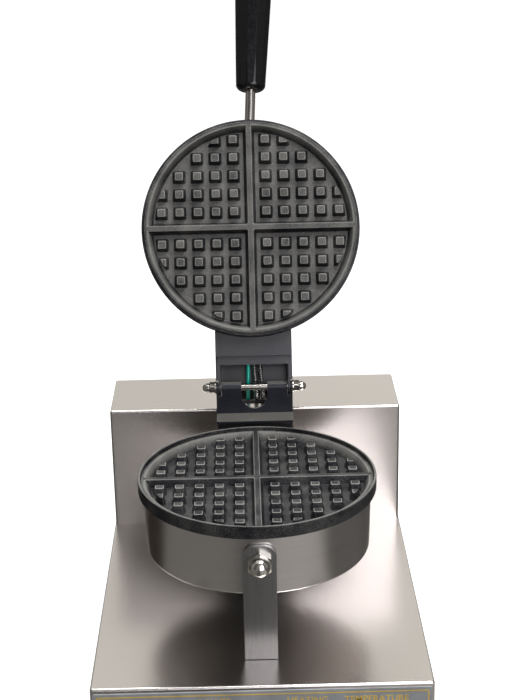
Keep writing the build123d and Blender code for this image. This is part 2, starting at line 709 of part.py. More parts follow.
def plate_body(outline, relief, boss_z, direction):
    """A cast plate: turned outline, waffle relief, screw bosses and the middle boss on its back."""
    back = at_height(boss_z) if direction > 0 else facing_down(boss_z)
    with BuildPart() as plate:
        with BuildSketch(Plane.XZ):
            with BuildLine():
                Polyline(*outline, close=True)
            make_face()
        revolve(axis=Axis.Z)
        add(relief)
        with BuildSketch(back):
            Circle(9)
            with PolarLocations(CLAMP_SCREW_R, 4, start_angle=45):
                Circle(6)
        extrude(amount=2 * TUBE_R + FIT)
        with BuildSketch(back.offset(2 * TUBE_R + FIT)):
            Circle(TIE_R + FIT)
            with PolarLocations(CLAMP_SCREW_R, 4, start_angle=45):
                Circle(2.5 + FIT)
        extrude(amount=-11.6, mode=Mode.SUBTRACT)
    return plate.part


BAND_INNER_R = 89.0
RING_R = 93.3
LIP_R = 94.0

lower_outline = [(0, BOSS_Z), (BAND_INNER_R, BOSS_Z), (BAND_INNER_R, BAND_BOTTOM), (PLATE_R, BAND_BOTTOM),
                 (PLATE_R, LIP_TOP), (LIP_R, LIP_TOP), (LIP_R, PARTING_Z - 1.0), (RING_R, PARTING_Z - 1.0),
                 (RING_R, PARTING_Z), (CAVITY_R, PARTING_Z), (CAVITY_R - 4, FLOOR_Z), (0, FLOOR_Z)]
bar_cut_r = CAVITY_R + 1


def trimmed_relief(floor):
    """The relief cut back to the cavity, so that the bars end in its wall."""
    with BuildPart() as relief:
        add(waffle_relief(floor))
        with BuildSketch(floor):
            Circle(bar_cut_r)
        extrude(amount=CAVITY_DEPTH, mode=Mode.INTERSECT)
    return relief.part


lower_plate = plate_body(lower_outline, trimmed_relief(at_height(FLOOR_Z)), BOSS_Z, -1)
save(lower_plate, "lower_plate")


def heater(plane_z, away):
    """A tubular ring heater lying against the back of a plate, with two terminals that turn away from it."""
    with BuildPart() as element:
        with BuildSketch(Plane.XZ):
            with Locations((ELEMENT_R, plane_z)):
                Circle(TUBE_R)
        revolve(axis=Axis.Z, revolution_arc=ELEMENT_TURN)
        for angle in (LEG_INSET, ELEMENT_TURN - LEG_INSET):
            place = (ELEMENT_R * cos(radians(angle)), ELEMENT_R * sin(radians(angle)))
            with BuildSketch(at_height(plane_z)):
                with Locations(place):
                    Circle(COLD_END_R)
            extrude(amount=away * TERMINAL_DROP)
            with BuildSketch(at_height(plane_z + away * TERMINAL_DROP)):
                with Locations(place):
                    Circle(1.6)
            extrude(amount=away * 6)
    return element.part


def clamp_plate(top_z):
    """The steel disc that holds the heater against the plate."""
    with BuildPart() as clamp:
        with BuildSketch(at_height(top_z)):
            Circle(CLAMP_R)
            Circle(TIE_HOLE_R, mode=Mode.SUBTRACT)
            with PolarLocations(CLAMP_SCREW_R, 4, start_angle=45):
                Circle(SCREW_HOLE_R, mode=Mode.SUBTRACT)
            with Locations(*terminal_places):
                Circle(6, mode=Mode.SUBTRACT)
        extrude(amount=-CLAMP_T)
    return clamp.part


def wool_disc(low, high):
    """The insulation between the clamp and the drum's end."""
    with BuildPart() as wool:
        with BuildSketch(at_height(low)):
            Circle(WOOL_R)
            Circle(4.6, mode=Mode.SUBTRACT)
            with Locations(*terminal_places):
                Circle(7, mode=Mode.SUBTRACT)
        extrude(amount=high - low)
        fillet(wool.edges().filter_by(GeomType.CIRCLE).filter_by(lambda edge: edge.radius > WOOL_R - 1), 2.0)
    return wool.part


def clamp_screw_set(head_z, into):
    """Four pan-head screws that pull the clamp to the plate."""
    with BuildPart() as screws:
        with BuildSketch(at_height(head_z)):
            with PolarLocations(CLAMP_SCREW_R, 4, start_angle=45):
                Circle(4.4)
        extrude(amount=-into * 3.0)
        with BuildSketch(at_height(head_z)):
            with PolarLocations(CLAMP_SCREW_R, 4, start_angle=45):
                Circle(2.5)
        extrude(amount=into * 12.0)
    return screws.part


def tie_bolt(head_z, into):
    """The hexagon bolt through the drum's end into the plate's middle boss."""
    with BuildPart() as bolt:
        with BuildSketch(at_height(head_z)):
            RegularPolygon(13.0 / 2 / cos(radians(30)), 6)
        extrude(amount=-into * 5.3)
        with BuildSketch(at_height(head_z)):
            Circle(8.5)
        extrude(amount=-into * 1.0)
        with BuildSketch(at_height(head_z)):
            Circle(TIE_R)
        extrude(amount=into * 45.5)
    return bolt.part


def turned(piece):
    """Turn a heater so that its two terminals face the hinge."""
    return piece.rotate(Axis.Z, RING_START)


def above(z):
    """The height on the upper half that mirrors z on the lower."""
    return MIRROR_Z - z


UPPER_BOSS_Z = above(BOSS_Z)
UPPER_FLOOR_Z = above(FLOOR_Z)

save(turned(heater(ELEMENT_Z, -1)), "lower_element")
save(clamp_plate(CLAMP_Z), "lower_clamp_plate")
save(clamp_screw_set(CLAMP_Z - CLAMP_T, 1), "lower_clamp_screws")
save(wool_disc(*WOOL_Z), "lower_insulation")
save(tie_bolt(DRUM_BOTTOM, 1), "lower_tie_bolt")

# ---------------------------------------------------------------- hinge support on the base
HINGE_W = 67.2
EAR_X = HINGE_W / 2 - PLATE_T  # inner face of an ear
EAR_R = 5.0
FLANGE_TOP = 203.6
FLANGE_FRONT = 115.5
WALL_FRONT = HINGE_Y - EAR_R
BARREL_HALF = 29.1
KNUCKLE_X = 29.4
NOTCH_R = 11.4
NOTCH_Z = FLANGE_TOP + 4.2 + NOTCH_R
PIN_R = 3.0
REAR_CLEAR = REAR_TOP + GAP
EAR_BACK = 151.0
LUG_CORNERS = ((-10.0, 8.0), (-4.3, 8.0), (-4.3, 13.0), (-10.0, 13.0))  # the stop that the lid's heel meets

outer_x = PEDESTAL_W / 2
inner_x = outer_x - PLATE_T
flange_x = outer_x - 18
inner_front = PEDESTAL_FRONT + PLATE_T
inner_back = REAR_FRONT - PLATE_T

with BuildPart() as hinge_pedestal:
    with BuildSketch(at_height(BASE_TOP)):
        with BuildLine():
            Polyline((-outer_x, PEDESTAL_FRONT), (outer_x, PEDESTAL_FRONT), (outer_x, REAR_FRONT),
                     (flange_x, REAR_FRONT), (flange_x, inner_back), (inner_x, inner_back),
                     (inner_x, inner_front), (-inner_x, inner_front), (-inner_x, inner_back),
                     (-flange_x, inner_back), (-flange_x, REAR_FRONT), (-outer_x, REAR_FRONT), close=True)
        make_face()
    extrude(amount=FLANGE_TOP - PLATE_T - BASE_TOP)
    fillet(hinge_pedestal.edges().filter_by(Axis.Z).group_by(Axis.Y)[0], 2.0)
    with BuildSketch(Plane.XZ.offset(-REAR_FRONT)):
        with Locations(*[(x, z) for x in (-FRAME_SCREW_X, FRAME_SCREW_X) for z in FRAME_SCREW_Z]):
            Circle(2.5 + FIT)
    extrude(amount=PLATE_T, mode=Mode.SUBTRACT)
    with BuildSketch(Plane.XZ.offset(-PEDESTAL_FRONT)):
        with Locations((0, LEAD_HOLE_Z)):
            Circle(9)
    extrude(amount=-PLATE_T, mode=Mode.SUBTRACT)
save(hinge_pedestal.part, "hinge_pedestal")

with BuildPart() as drum_link:
    with BuildSketch(Plane.XZ.offset(-PEDESTAL_FRONT)):
        with Locations((0, sum(LINK_Z) / 2)):
            RectangleRounded(LINK_W, LINK_Z[1] - LINK_Z[0], 3)
    extrude(amount=40)
    with BuildSketch(Plane.XZ.offset(-PEDESTAL_FRONT)):
        with Locations((0, sum(LINK_Z) / 2)):
            RectangleRounded(LINK_W - 2 * PLATE_T, LINK_Z[1] - LINK_Z[0] - 2 * PLATE_T, 1)
    extrude(amount=PEDESTAL_FRONT - DRUM_R - PLATE_T - 1, mode=Mode.SUBTRACT)
    with BuildSketch(at_height(LINK_Z[0])):
        Circle(DRUM_R + 0.05)
    extrude(amount=LINK_Z[1] - LINK_Z[0], mode=Mode.SUBTRACT)
    with BuildSketch(Plane.XZ.offset(-70)):
        with Locations((0, LEAD_HOLE_Z)):
            Circle(8)
            with GridLocations(2 * LINK_SCREW_X, 0, 2, 1):
                Circle(2.5 + FIT)
    extrude(amount=-40, mode=Mode.SUBTRACT)
save(drum_link.part, "drum_link")


def socket_screw(head_face, length):
    """A 5 mm pan-head screw whose shank runs against the plane's normal."""
    with BuildPart() as screw:
        with BuildSketch(head_face):
            Circle(4.4)
        extrude(amount=3.0)
        fillet(screw.faces().sort_by(Axis(head_face.origin, head_face.z_dir))[-1].edges(), 1.6)
        with BuildSketch(head_face):
            Circle(2.5)
        extrude(amount=-length)
    return screw.part


with BuildPart() as frame_screws:
    for x in (-FRAME_SCREW_X, FRAME_SCREW_X):
        for z in FRAME_SCREW_Z:
            add(socket_screw(Plane(origin=(x, REAR_FRONT + SHEET, z), z_dir=(0, 1, 0)), 12))
    for x in (-LINK_SCREW_X, LINK_SCREW_X):
        add(socket_screw(Plane(origin=(x, 87.4, LEAD_HOLE_Z), z_dir=(0, -1, 0)), 12))
save(frame_screws.part, "frame_screws")

with BuildPart() as hinge_bracket:
    with BuildSketch(at_height(FLANGE_TOP)):
        with Locations((0, FLANGE_FRONT)):
            Rectangle(HINGE_W, REAR_FRONT - 0.1 - FLANGE_FRONT, align=(Align.CENTER, Align.MIN))
    extrude(amount=-PLATE_T)
    fillet(hinge_bracket.edges().filter_by(Axis.Z).group_by(Axis.Y)[0], 1.5)
    for inner in (EAR_X, -EAR_X - PLATE_T):
        with BuildSketch(side.offset(inner)):
            with BuildLine():
                Polyline((HINGE_Y - EAR_R, HINGE_Z), (HINGE_Y - EAR_R, FLANGE_TOP - PLATE_T),
                         (REAR_FRONT - 0.1, FLANGE_TOP - PLATE_T), (REAR_FRONT - 0.1, REAR_CLEAR),
                         (EAR_BACK, REAR_CLEAR), (EAR_BACK, REAR_CLEAR + 9), (HINGE_Y + EAR_R, HINGE_Z),
                         close=True)
            make_face()
            with Locations((HINGE_Y, HINGE_Z)):
                Circle(EAR_R)
        extrude(amount=PLATE_T)
    with BuildSketch(side.offset(-BARREL_HALF)):
        with Locations((WALL_FRONT, FLANGE_TOP)):
            Rectangle(PLATE_T, HINGE_Z - FLANGE_TOP, align=(Align.MIN, Align.MIN))
        with Locations((HINGE_Y, HINGE_Z)):
            Circle(EAR_R)
    extrude(amount=2 * BARREL_HALF)
    with BuildSketch(side.offset(-EAR_X)):
        with Locations((WALL_FRONT, FLANGE_TOP)):
            Rectangle(PLATE_T, HINGE_Z - 7 - FLANGE_TOP, align=(Align.MIN, Align.MIN))
    extrude(amount=2 * EAR_X)
    for lug_x in (KNUCKLE_X + 0.1, -EAR_X):
        with BuildSketch(side.offset(lug_x)):
            with BuildLine():
                Polyline(*[opened(0, u, v)[1:] for u, v in LUG_CORNERS], close=True)
            make_face()
        extrude(amount=EAR_X - KNUCKLE_X - 0.1)
    with BuildSketch(Plane.XZ.offset(-HINGE_Y - 20)):
        with Locations((0, NOTCH_Z)):
            Circle(NOTCH_R)
            Rectangle(2 * NOTCH_R, 30, align=(Align.CENTER, Align.MIN))
    extrude(amount=40, mode=Mode.SUBTRACT)
    with BuildSketch(side.offset(-HINGE_W)):
        with Locations((HINGE_Y, HINGE_Z)):
            Circle(PIN_R + FIT)
    extrude(amount=2 * HINGE_W, mode=Mode.SUBTRACT)
save(hinge_bracket.part, "hinge_bracket")

WASHER_T = 1.2
PIN_HALF = HINGE_W / 2 + WASHER_T + 7.2

with BuildPart() as hinge_pin:
    with BuildSketch(side.offset(-PIN_HALF)):
        with Locations((HINGE_Y, HINGE_Z)):
            Circle(PIN_R)
    extrude(amount=2 * PIN_HALF)
    chamfer(hinge_pin.edges().filter_by(GeomType.CIRCLE), 0.6)
save(hinge_pin.part, "hinge_pin")

with BuildPart() as hinge_washers:
    for facing in (-1, 1):
        with BuildSketch(Plane(origin=(facing * HINGE_W / 2, HINGE_Y, HINGE_Z), z_dir=(facing, 0, 0))):
            Circle(6)
            Circle(PIN_R + FIT, mode=Mode.SUBTRACT)
        extrude(amount=WASHER_T)
save(hinge_washers.part, "hinge_washers")

with BuildPart() as hinge_nuts:
    for facing in (-1, 1):
        nut_face = Plane(origin=(facing * (HINGE_W / 2 + WASHER_T), HINGE_Y, HINGE_Z),
                         x_dir=(0, 1, 0), z_dir=(facing, 0, 0))
        add(acorn_nut(nut_face, 10.0 / 2 / cos(radians(30)), 5.4, 4.4, 11.0, PIN_R + FIT, 7.6))
save(hinge_nuts.part, "hinge_nuts")

# ---------------------------------------------------------------- lid
ARM_V = (-10.6, 14.0)
SIDE_U = 6.0
WINDOW_U = 19.0
STRIP_X = 30.1
WEB_U = 2.0
COVER_U = 26.5
ARM_END_Y = 60.0
ARM_SCREW_X = 18.0
ARM_SCREW_Z = 228.0
ARM_LEAD_Z = 228.0


def lid_box(x_low, x_high, u_low, u_high, v_low, v_high, mode=Mode.ADD):
    """A block of the lid given from the hinge axis."""
    with BuildSketch(side.offset(x_low)) as block:
        with Locations(hinge_point(u_high, v_low)):
            Rectangle(u_high - u_low, v_high - v_low, align=(Align.MIN, Align.MIN))
    extrude(block.sketch, amount=x_high - x_low, mode=mode)


ARM_REACH = HINGE_Y - ARM_END_Y
HALF_ARM = HINGE_W / 2

with BuildPart() as lid_arm:
    for x_low in (-HALF_ARM, EAR_X):
        lid_box(x_low, x_low + PLATE_T, SIDE_U, ARM_REACH, *ARM_V)
    lid_box(-HALF_ARM, HALF_ARM, SIDE_U, ARM_REACH, ARM_V[0], ARM_V[0] + PLATE_T)
    lid_box(-HALF_ARM, HALF_ARM, SIDE_U, ARM_REACH, ARM_V[1] - PLATE_T, ARM_V[1])
    lid_box(-KNUCKLE_X - PLATE_T, KNUCKLE_X + PLATE_T, WEB_U, SIDE_U, ARM_V[1] - PLATE_T, ARM_V[1])
    fillet(lid_arm.edges().filter_by(Axis.Y).filter_by(
        lambda edge: abs(edge.center().X) > HALF_ARM - 0.1), 1.2)
    lid_box(-STRIP_X, STRIP_X, SIDE_U - 1, WINDOW_U, ARM_V[0] - 1, ARM_V[0] + PLATE_T + 1, Mode.SUBTRACT)
    for x_low in (-KNUCKLE_X - PLATE_T, KNUCKLE_X):
        with BuildSketch(side.offset(x_low)):
            with BuildLine():
                Polyline(*[hinge_point(u, v) for u, v in
                           ((-4, 4), (-4, ARM_V[1] - PLATE_T), (26, ARM_V[1] - PLATE_T), (26, -6),
                            (6, -6), (0, -EAR_R))], close=True)
            make_face()
            with Locations((HINGE_Y, HINGE_Z)):
                Circle(EAR_R)
        extrude(amount=PLATE_T)
    for x_low in (-EAR_X, KNUCKLE_X + PLATE_T):
        lid_box(x_low, x_low + EAR_X - KNUCKLE_X - PLATE_T, SIDE_U + 3, 25, -5, 11)
    with BuildSketch(at_height(HINGE_Z + ARM_V[0])):
        Circle(DRUM_R + PLATE_T)
    extrude(amount=ARM_V[1] - ARM_V[0], mode=Mode.SUBTRACT)
    with BuildSketch(at_height(HINGE_Z + ARM_V[0])) as saddle:
        Circle(DRUM_R + PLATE_T + 0.05)
        with Locations((0, HINGE_Y)):
            Rectangle(HINGE_W - 2, 2 * ARM_REACH, mode=Mode.INTERSECT)
    extrude(amount=ARM_V[1] - ARM_V[0])
    with BuildSketch(at_height(HINGE_Z + ARM_V[0])):
        Circle(DRUM_R + 0.05)
    extrude(amount=ARM_V[1] - ARM_V[0], mode=Mode.SUBTRACT)
    with BuildSketch(at_height(HINGE_Z + ARM_V[0])):
        Circle(PLATE_R + 0.4)
    extrude(amount=UPPER_BAND_TOP + 0.2 - HINGE_Z - ARM_V[0], mode=Mode.SUBTRACT)
    with BuildSketch(Plane.XZ.offset(-70)):
        with Locations((0, ARM_LEAD_Z)):
            Circle(8)
            with GridLocations(2 * ARM_SCREW_X, 0, 2, 1):
                Circle(2.5 + FIT)
    extrude(amount=-30, mode=Mode.SUBTRACT)
    with BuildSketch(side.offset(-HINGE_W)):
        with Locations((HINGE_Y, HINGE_Z)):
            Circle(PIN_R + FIT)
    extrude(amount=2 * HINGE_W, mode=Mode.SUBTRACT)
save(lid_arm.part, "lid_arm", lid=True)

with BuildPart() as arm_front_plate:
    lid_box(-HALF_ARM, HALF_ARM, COVER_U, ARM_REACH, ARM_V[0] - PLATE_T, ARM_V[0])
    with BuildSketch(at_height(HINGE_Z + ARM_V[0] - PLATE_T)):
        Circle(PLATE_R + 0.4)
    extrude(amount=PLATE_T, mode=Mode.SUBTRACT)
save(arm_front_plate.part, "arm_front_plate", lid=True)

HANDLE_Z = 236.0
HANDLE_X = 1.0
HANDLE_LEAN = 2.9  # degrees to the right of square
ROD_R = 4.6
GRIP_START = 128.0  # from the plates' axis
GRIP_L = 116.0
GRIP_R = (13.6, 18.0)


def leaned(piece):
    """Set a handle piece at the handle's place and lean on the drum."""
    piece = piece.rotate(Axis((0, -DRUM_R, 0), (0, 0, 1)), HANDLE_LEAN)
    return piece.moved(Location((HANDLE_X, 0, 0)))


with BuildPart() as upper_drum:
    add(drum(UPPER_BAND_TOP, UPPER_DRUM_TOP, -1))
    with BuildSketch(Plane.XZ.offset(70)):
        with Locations((HANDLE_X, HANDLE_Z)):
            Circle(ROD_R + 0.25)
    extrude(amount=40, mode=Mode.SUBTRACT)
    with BuildSketch(Plane.XZ.offset(-70)):
        with Locations((0, ARM_LEAD_Z)):
            Circle(8)
            with GridLocations(2 * ARM_SCREW_X, 0, 2, 1):
                Circle(SCREW_HOLE_R)
    extrude(amount=-40, mode=Mode.SUBTRACT)
save(upper_drum.part, "upper_drum", lid=True)

upper_outline = [(0, UPPER_BOSS_Z), (BAND_INNER_R, UPPER_BOSS_Z), (BAND_INNER_R, UPPER_BAND_TOP),
                 (PLATE_R, UPPER_BAND_TOP), (PLATE_R, LIP_TOP + GAP), (RING_R, LIP_TOP + GAP),
                 (RING_R, UPPER_PARTING_Z), (CAVITY_R, UPPER_PARTING_Z), (CAVITY_R - 4, UPPER_FLOOR_Z),
                 (0, UPPER_FLOOR_Z)]
upper_plate = plate_body(upper_outline, trimmed_relief(facing_down(UPPER_FLOOR_Z)), UPPER_BOSS_Z, 1)
save(upper_plate, "upper_plate", lid=True)

save(turned(heater(above(ELEMENT_Z), 1)), "upper_element", lid=True)
save(clamp_plate(above(CLAMP_Z) + CLAMP_T), "upper_clamp_plate", lid=True)
save(clamp_screw_set(above(CLAMP_Z) + CLAMP_T, -1), "upper_clamp_screws", lid=True)
save(wool_disc(UPPER_DRUM_TOP - 20, UPPER_DRUM_TOP - 4), "upper_insulation", lid=True)
save(tie_bolt(UPPER_DRUM_TOP, -1), "upper_tie_bolt", lid=True)

with BuildPart() as arm_screws:
    for x in (-ARM_SCREW_X, ARM_SCREW_X):
        add(socket_screw(Plane(origin=(x, 87.0, ARM_SCREW_Z), z_dir=(0, -1, 0)), 12))
save(arm_screws.part, "arm_screws", lid=True)

with BuildPart() as handle_rod:
    with BuildSketch(Plane.XZ.offset(82)):
        with Locations((0, HANDLE_Z)):
            Circle(ROD_R)
    extrude(amount=GRIP_START + 70 - 82)
    chamfer(handle_rod.edges().filter_by(GeomType.CIRCLE), 0.6)
save(leaned(handle_rod.part), "handle_rod", lid=True)

with BuildPart() as handle_nuts:
    for start in (83.0, DRUM_R + 0.3):
        with BuildSketch(Plane.XZ.offset(start)):
            with Locations((0, HANDLE_Z)):
                RegularPolygon(14.0 / 2 / cos(radians(30)), 6)
                Circle(ROD_R + FIT, mode=Mode.SUBTRACT)
        extrude(amount=5.5)
save(leaned(handle_nuts.part), "handle_nuts", lid=True)

grip_end = GRIP_START + GRIP_L
with BuildPart() as handle_grip:
    with BuildSketch(Plane.XZ.offset(GRIP_START)):
        with Locations((0, HANDLE_Z)):
            RegularPolygon(GRIP_R[0], 12, rotation=15)
    with BuildSketch(Plane.XZ.offset(GRIP_START + GRIP_L)):
        with Locations((0, HANDLE_Z)):
            RegularPolygon(GRIP_R[1], 12, rotation=15)
    loft()
    with BuildSketch(Plane(origin=(0, 0, HANDLE_Z), x_dir=(0, -1, 0), z_dir=(-1, 0, 0))):
        with BuildLine():
            Polyline((grip_end, 0), (GRIP_START, 0), (GRIP_START, 8.0))
            ThreePointArc((GRIP_START, 8.0), (GRIP_START + 1.8, 11.6), (GRIP_START + 6.0, 13.6))
            Line((GRIP_START + 6.0, 13.6), (grip_end - 12, 18.2))
            ThreePointArc((grip_end - 12, 18.2), (grip_end - 3.4, 13.0), (grip_end, 0))
        make_face()
    revolve(axis=Axis((0, 0, HANDLE_Z), (0, 1, 0)), mode=Mode.INTERSECT)
    with BuildSketch(Plane.XZ.offset(GRIP_START)):
        with Locations((0, HANDLE_Z)):
            Circle(ROD_R + 0.03)
    extrude(amount=70.6, mode=Mode.SUBTRACT)
save(leaned(handle_grip.part), "handle_grip", lid=True)

# ---------------------------------------------------------------- leads
EARTH_R = 1.6
SLEEVE_R = 2.2


def hinge_lead(x_low, x_hinge, x_top, end_x):
    """The route of a lead from the terminal block up through the grommet, past the pin and along the arm."""
    return [(x_low, BLOCK_Y, BLOCK_TOP + 0.4), (x_low, BLOCK_Y + 3, 62.0), (x_low, BLOCK_Y - 2, 104.0),
            (x_low, 174.0, 146.0), (x_low, 171.0, 180.0), (x_hinge, 168.5, 205.0),
            opened(x_hinge, -2.0, 6.8), opened(x_top, 20.0, 4.0), opened(x_top, 38.0, 2.4),
            opened(end_x, 56.0, 2.8)]


earth_wire = lead(hinge_lead(-6.0, -5.6, -4.8, -4.6), EARTH_R)
save(earth_wire, "earth_wire")

with BuildPart() as heater_leads:
    add(lead(hinge_lead(4.0, 1.6, -0.2, 0.2), SLEEVE_R))
    add(lead(hinge_lead(14.0, 7.0, 5.2, 5.2), SLEEVE_R))
save(heater_leads.part, "heater_leads")
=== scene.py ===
import json
import math

import bpy
from mathutils import Matrix, Vector
from mathutils.geometry import delaunay_2d_cdt


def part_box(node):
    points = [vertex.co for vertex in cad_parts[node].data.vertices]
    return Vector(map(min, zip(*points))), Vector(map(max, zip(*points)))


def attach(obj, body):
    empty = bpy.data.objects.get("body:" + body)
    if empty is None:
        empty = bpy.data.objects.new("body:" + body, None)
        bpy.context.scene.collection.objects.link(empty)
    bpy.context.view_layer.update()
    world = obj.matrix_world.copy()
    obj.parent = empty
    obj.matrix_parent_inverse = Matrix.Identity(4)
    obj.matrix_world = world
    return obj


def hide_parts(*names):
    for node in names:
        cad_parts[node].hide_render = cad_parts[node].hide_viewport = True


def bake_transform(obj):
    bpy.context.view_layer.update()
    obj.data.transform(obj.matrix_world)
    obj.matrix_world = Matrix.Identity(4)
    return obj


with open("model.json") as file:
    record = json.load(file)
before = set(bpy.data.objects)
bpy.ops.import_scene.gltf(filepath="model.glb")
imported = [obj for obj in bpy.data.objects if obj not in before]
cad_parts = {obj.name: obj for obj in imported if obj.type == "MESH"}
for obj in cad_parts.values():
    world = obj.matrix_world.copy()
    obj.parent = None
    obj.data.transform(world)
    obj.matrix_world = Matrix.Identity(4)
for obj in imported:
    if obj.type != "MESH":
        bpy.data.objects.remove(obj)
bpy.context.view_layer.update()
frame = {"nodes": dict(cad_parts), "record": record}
NODES = frame["nodes"]

# ------------------------------------------------------------------ places, in millimetres
MM = 0.001
plate_low, plate_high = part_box("lower_plate")
AXIS_Y = (plate_low.y + plate_high.y) / 2 / MM  # the plates' axis
LIP_H = 2.9  # the lower plate's raised lip, above its bars
PARTING = plate_high.z / MM - LIP_H  # top of the lower bars
GAP = 0.3  # between the closed plates
CAVITY_DEPTH = 7.1
FLOOR = PARTING - CAVITY_DEPTH
UPPER_FLOOR = PARTING + GAP + CAVITY_DEPTH
pin_low, pin_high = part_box("hinge_pin")
HINGE = (pin_low + pin_high) / 2 / MM
OPEN = math.radians(114.5)  # how far the lid leans back from closed
panel_low, panel_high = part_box("control_panel")
PANEL_Y = panel_low.y / MM
PANEL_TOP = panel_high.z / MM
PANEL_BOTTOM = panel_low.z / MM
PANEL_HALF = panel_high.x / MM


def lid_turn():
    """The move that opens a piece built with the lid closed."""
    there = Matrix.Translation(HINGE)
    return there @ Matrix.Rotation(-OPEN, 4, "X") @ there.inverted()


def lid_point(x, u, v):
    """A point of the open lid, u towards the handle and v up from the hinge axis with the lid closed."""
    return lid_turn() @ Vector((x, HINGE.y - u, HINGE.z + v))


# ------------------------------------------------------------------ materials
class Look:
    """A procedural material: its shader, and short ways to add nodes to it."""

    def __init__(self, name, colour, metallic=0.0, roughness=0.5, **sockets):
        self.material = bpy.data.materials.new(name)
        self.material.use_nodes = True
        self.tree = self.material.node_tree
        self.shader = self.tree.nodes["Principled BSDF"]
        self.set(Base_Color=(*colour, 1.0), Metallic=metallic, Roughness=roughness, **sockets)

    def set(self, **sockets):
        for key, value in sockets.items():
            self.shader.inputs[key.replace("_", " ")].default_value = value

    def node(self, kind, inputs=None, **settings):
        made = self.tree.nodes.new(kind)
        for key, value in settings.items():
            setattr(made, key, value)
        for key, value in (inputs or {}).items():
            self.feed(made.inputs[key], value)
        return made

    def feed(self, socket, value):
        if isinstance(value, bpy.types.NodeSocket):
            self.tree.links.new(value, socket)
        else:
            socket.default_value = value

    def place(self, scale, closed=False):
        """Object coordinates, stretched. For a lid piece, closed turns them as if the lid were shut."""
        source = self.node("ShaderNodeTexCoord").outputs["Object"]
        if closed:
            centre = tuple(HINGE * MM)
            source = self.node("ShaderNodeVectorRotate", {"Vector": source, "Center": centre, "Angle": OPEN},
                               rotation_type="X_AXIS").outputs["Vector"]
        return self.node("ShaderNodeMapping", {"Vector": source, "Scale": scale}).outputs["Vector"]

    def turned_place(self, round_scale, across_scale, closed=False):
        """Coordinates for turned brushing: angle round the plates' axis, and distance along and from it."""
        place = self.place((1, 1, 1), closed)
        centred = self.node("ShaderNodeVectorMath", {0: place, 1: (0, AXIS_Y * MM, 0)},
                            operation="SUBTRACT").outputs[0]
        parts = self.node("ShaderNodeSeparateXYZ", {0: centred}).outputs
        flat = self.node("ShaderNodeCombineXYZ", {0: parts[0], 1: parts[1]}).outputs[0]
        radius = self.node("ShaderNodeVectorMath", {0: flat}, operation="LENGTH").outputs["Value"]
        angle = self.math("ARCTAN2", parts[0], parts[1])
        return self.node("ShaderNodeCombineXYZ", {
            0: self.math("MULTIPLY", angle, round_scale), 1: self.math("MULTIPLY", radius, across_scale),
            2: self.math("MULTIPLY", parts[2], across_scale)}).outputs[0]

    def math(self, operation, first, second):
        return self.node("ShaderNodeMath", {0: first, 1: second}, operation=operation).outputs[0]

    def noise(self, place, scale=1.0, detail=2.0, roughness=0.5):
        return self.node("ShaderNodeTexNoise", {"Vector": place, "Scale": scale, "Detail": detail,
                                                "Roughness": roughness}).outputs["Fac"]

    def span(self, value, low, high, start=0.3, end=0.7):
        """value from start to end becomes low to high."""
        return self.node("ShaderNodeMapRange", {"Value": value, "From Min": start, "From Max": end,
                                                "To Min": low, "To Max": high}).outputs["Result"]

    def blend(self, value, first, second):
        """A colour between two, by a value from 0 to 1."""
        mix = self.node("ShaderNodeMix", {0: value}, data_type="RGBA")
        for socket, colour in ((mix.inputs[6], first), (mix.inputs[7], second)):
            self.feed(socket, (*colour, 1.0) if isinstance(colour, tuple) else colour)
        return mix.outputs[2]

    def colour(self, value):
        self.feed(self.shader.inputs["Base Color"], value)

    def rough(self, value):
        self.feed(self.shader.inputs["Roughness"], value)

    def relief(self, height, depth, edge=0.0):
        """Surface relief of a depth in metres, with edges rounded by a radius in metres."""
        bump = self.node("ShaderNodeBump", {"Height": height, "Distance": depth, "Strength": 1.0})
        if edge:
            bevel = self.node("ShaderNodeBevel", {"Radius": edge}, samples=4)
            self.feed(bump.inputs["Normal"], bevel.outputs[0])
        self.feed(self.shader.inputs["Normal"], bump.outputs[0])


STAIN = 0.12  # how much of a brushed surface's tone is cloudy stain


def brushed(name, colour, place_scale, roughness, spread, depth, anisotropy=0.0, axis="Z", turned=False,
            closed=False, edge=0.0, contrast=0.15):
    """Brushed stainless steel: fine streaks along one direction, with faint cloudy stains."""
    look = Look(name, colour, metallic=1.0, roughness=roughness)
    if turned:
        streaks = look.turned_place(place_scale[0], place_scale[1], closed)
        fine = look.turned_place(place_scale[0] * 3, place_scale[1] * 3.1, closed)
    else:
        streaks = look.place(place_scale, closed)
        fine = look.place(tuple(3.1 * s for s in place_scale), closed)
    lines = look.math("ADD", look.math("MULTIPLY", look.noise(streaks, detail=3.0), 0.6),
                      look.math("MULTIPLY", look.noise(fine, detail=3.0), 0.4))
    cloud = look.noise(look.place((1, 1, 1), closed), scale=14.0, detail=4.0)
    tone = look.math("ADD", look.math("MULTIPLY", lines, 1.0 - STAIN), look.math("MULTIPLY", cloud, STAIN))
    dark = tuple((1 - contrast) * c for c in colour)
    light = tuple(min(1.0, (1 + contrast / 2) * c) for c in colour)
    look.colour(look.blend(look.span(tone, 0.0, 1.0), dark, light))
    look.rough(look.span(lines, roughness - spread, roughness + spread))
    look.relief(lines, depth, edge=edge)
    if anisotropy:
        look.set(Anisotropic=anisotropy)
        if axis == "X":
            look.set(Anisotropic_Rotation=0.25)
        tangent = look.node("ShaderNodeTangent", direction_type="RADIAL", axis=axis)
        look.feed(look.shader.inputs["Tangent"], tangent.outputs[0])
    return look.material


COAT_TONE = (0.32, 0.7)  # the tones that become the dark and the light colour of a coat
WEAR_AND_LIGHT_TONE = (0.48, 1.0)  # the same on a coat with wear and painted light
TOP_LIGHT_FACING = (0.75, 0.98)  # how far up a face looks before painted top light falls on it, and where it is brightest
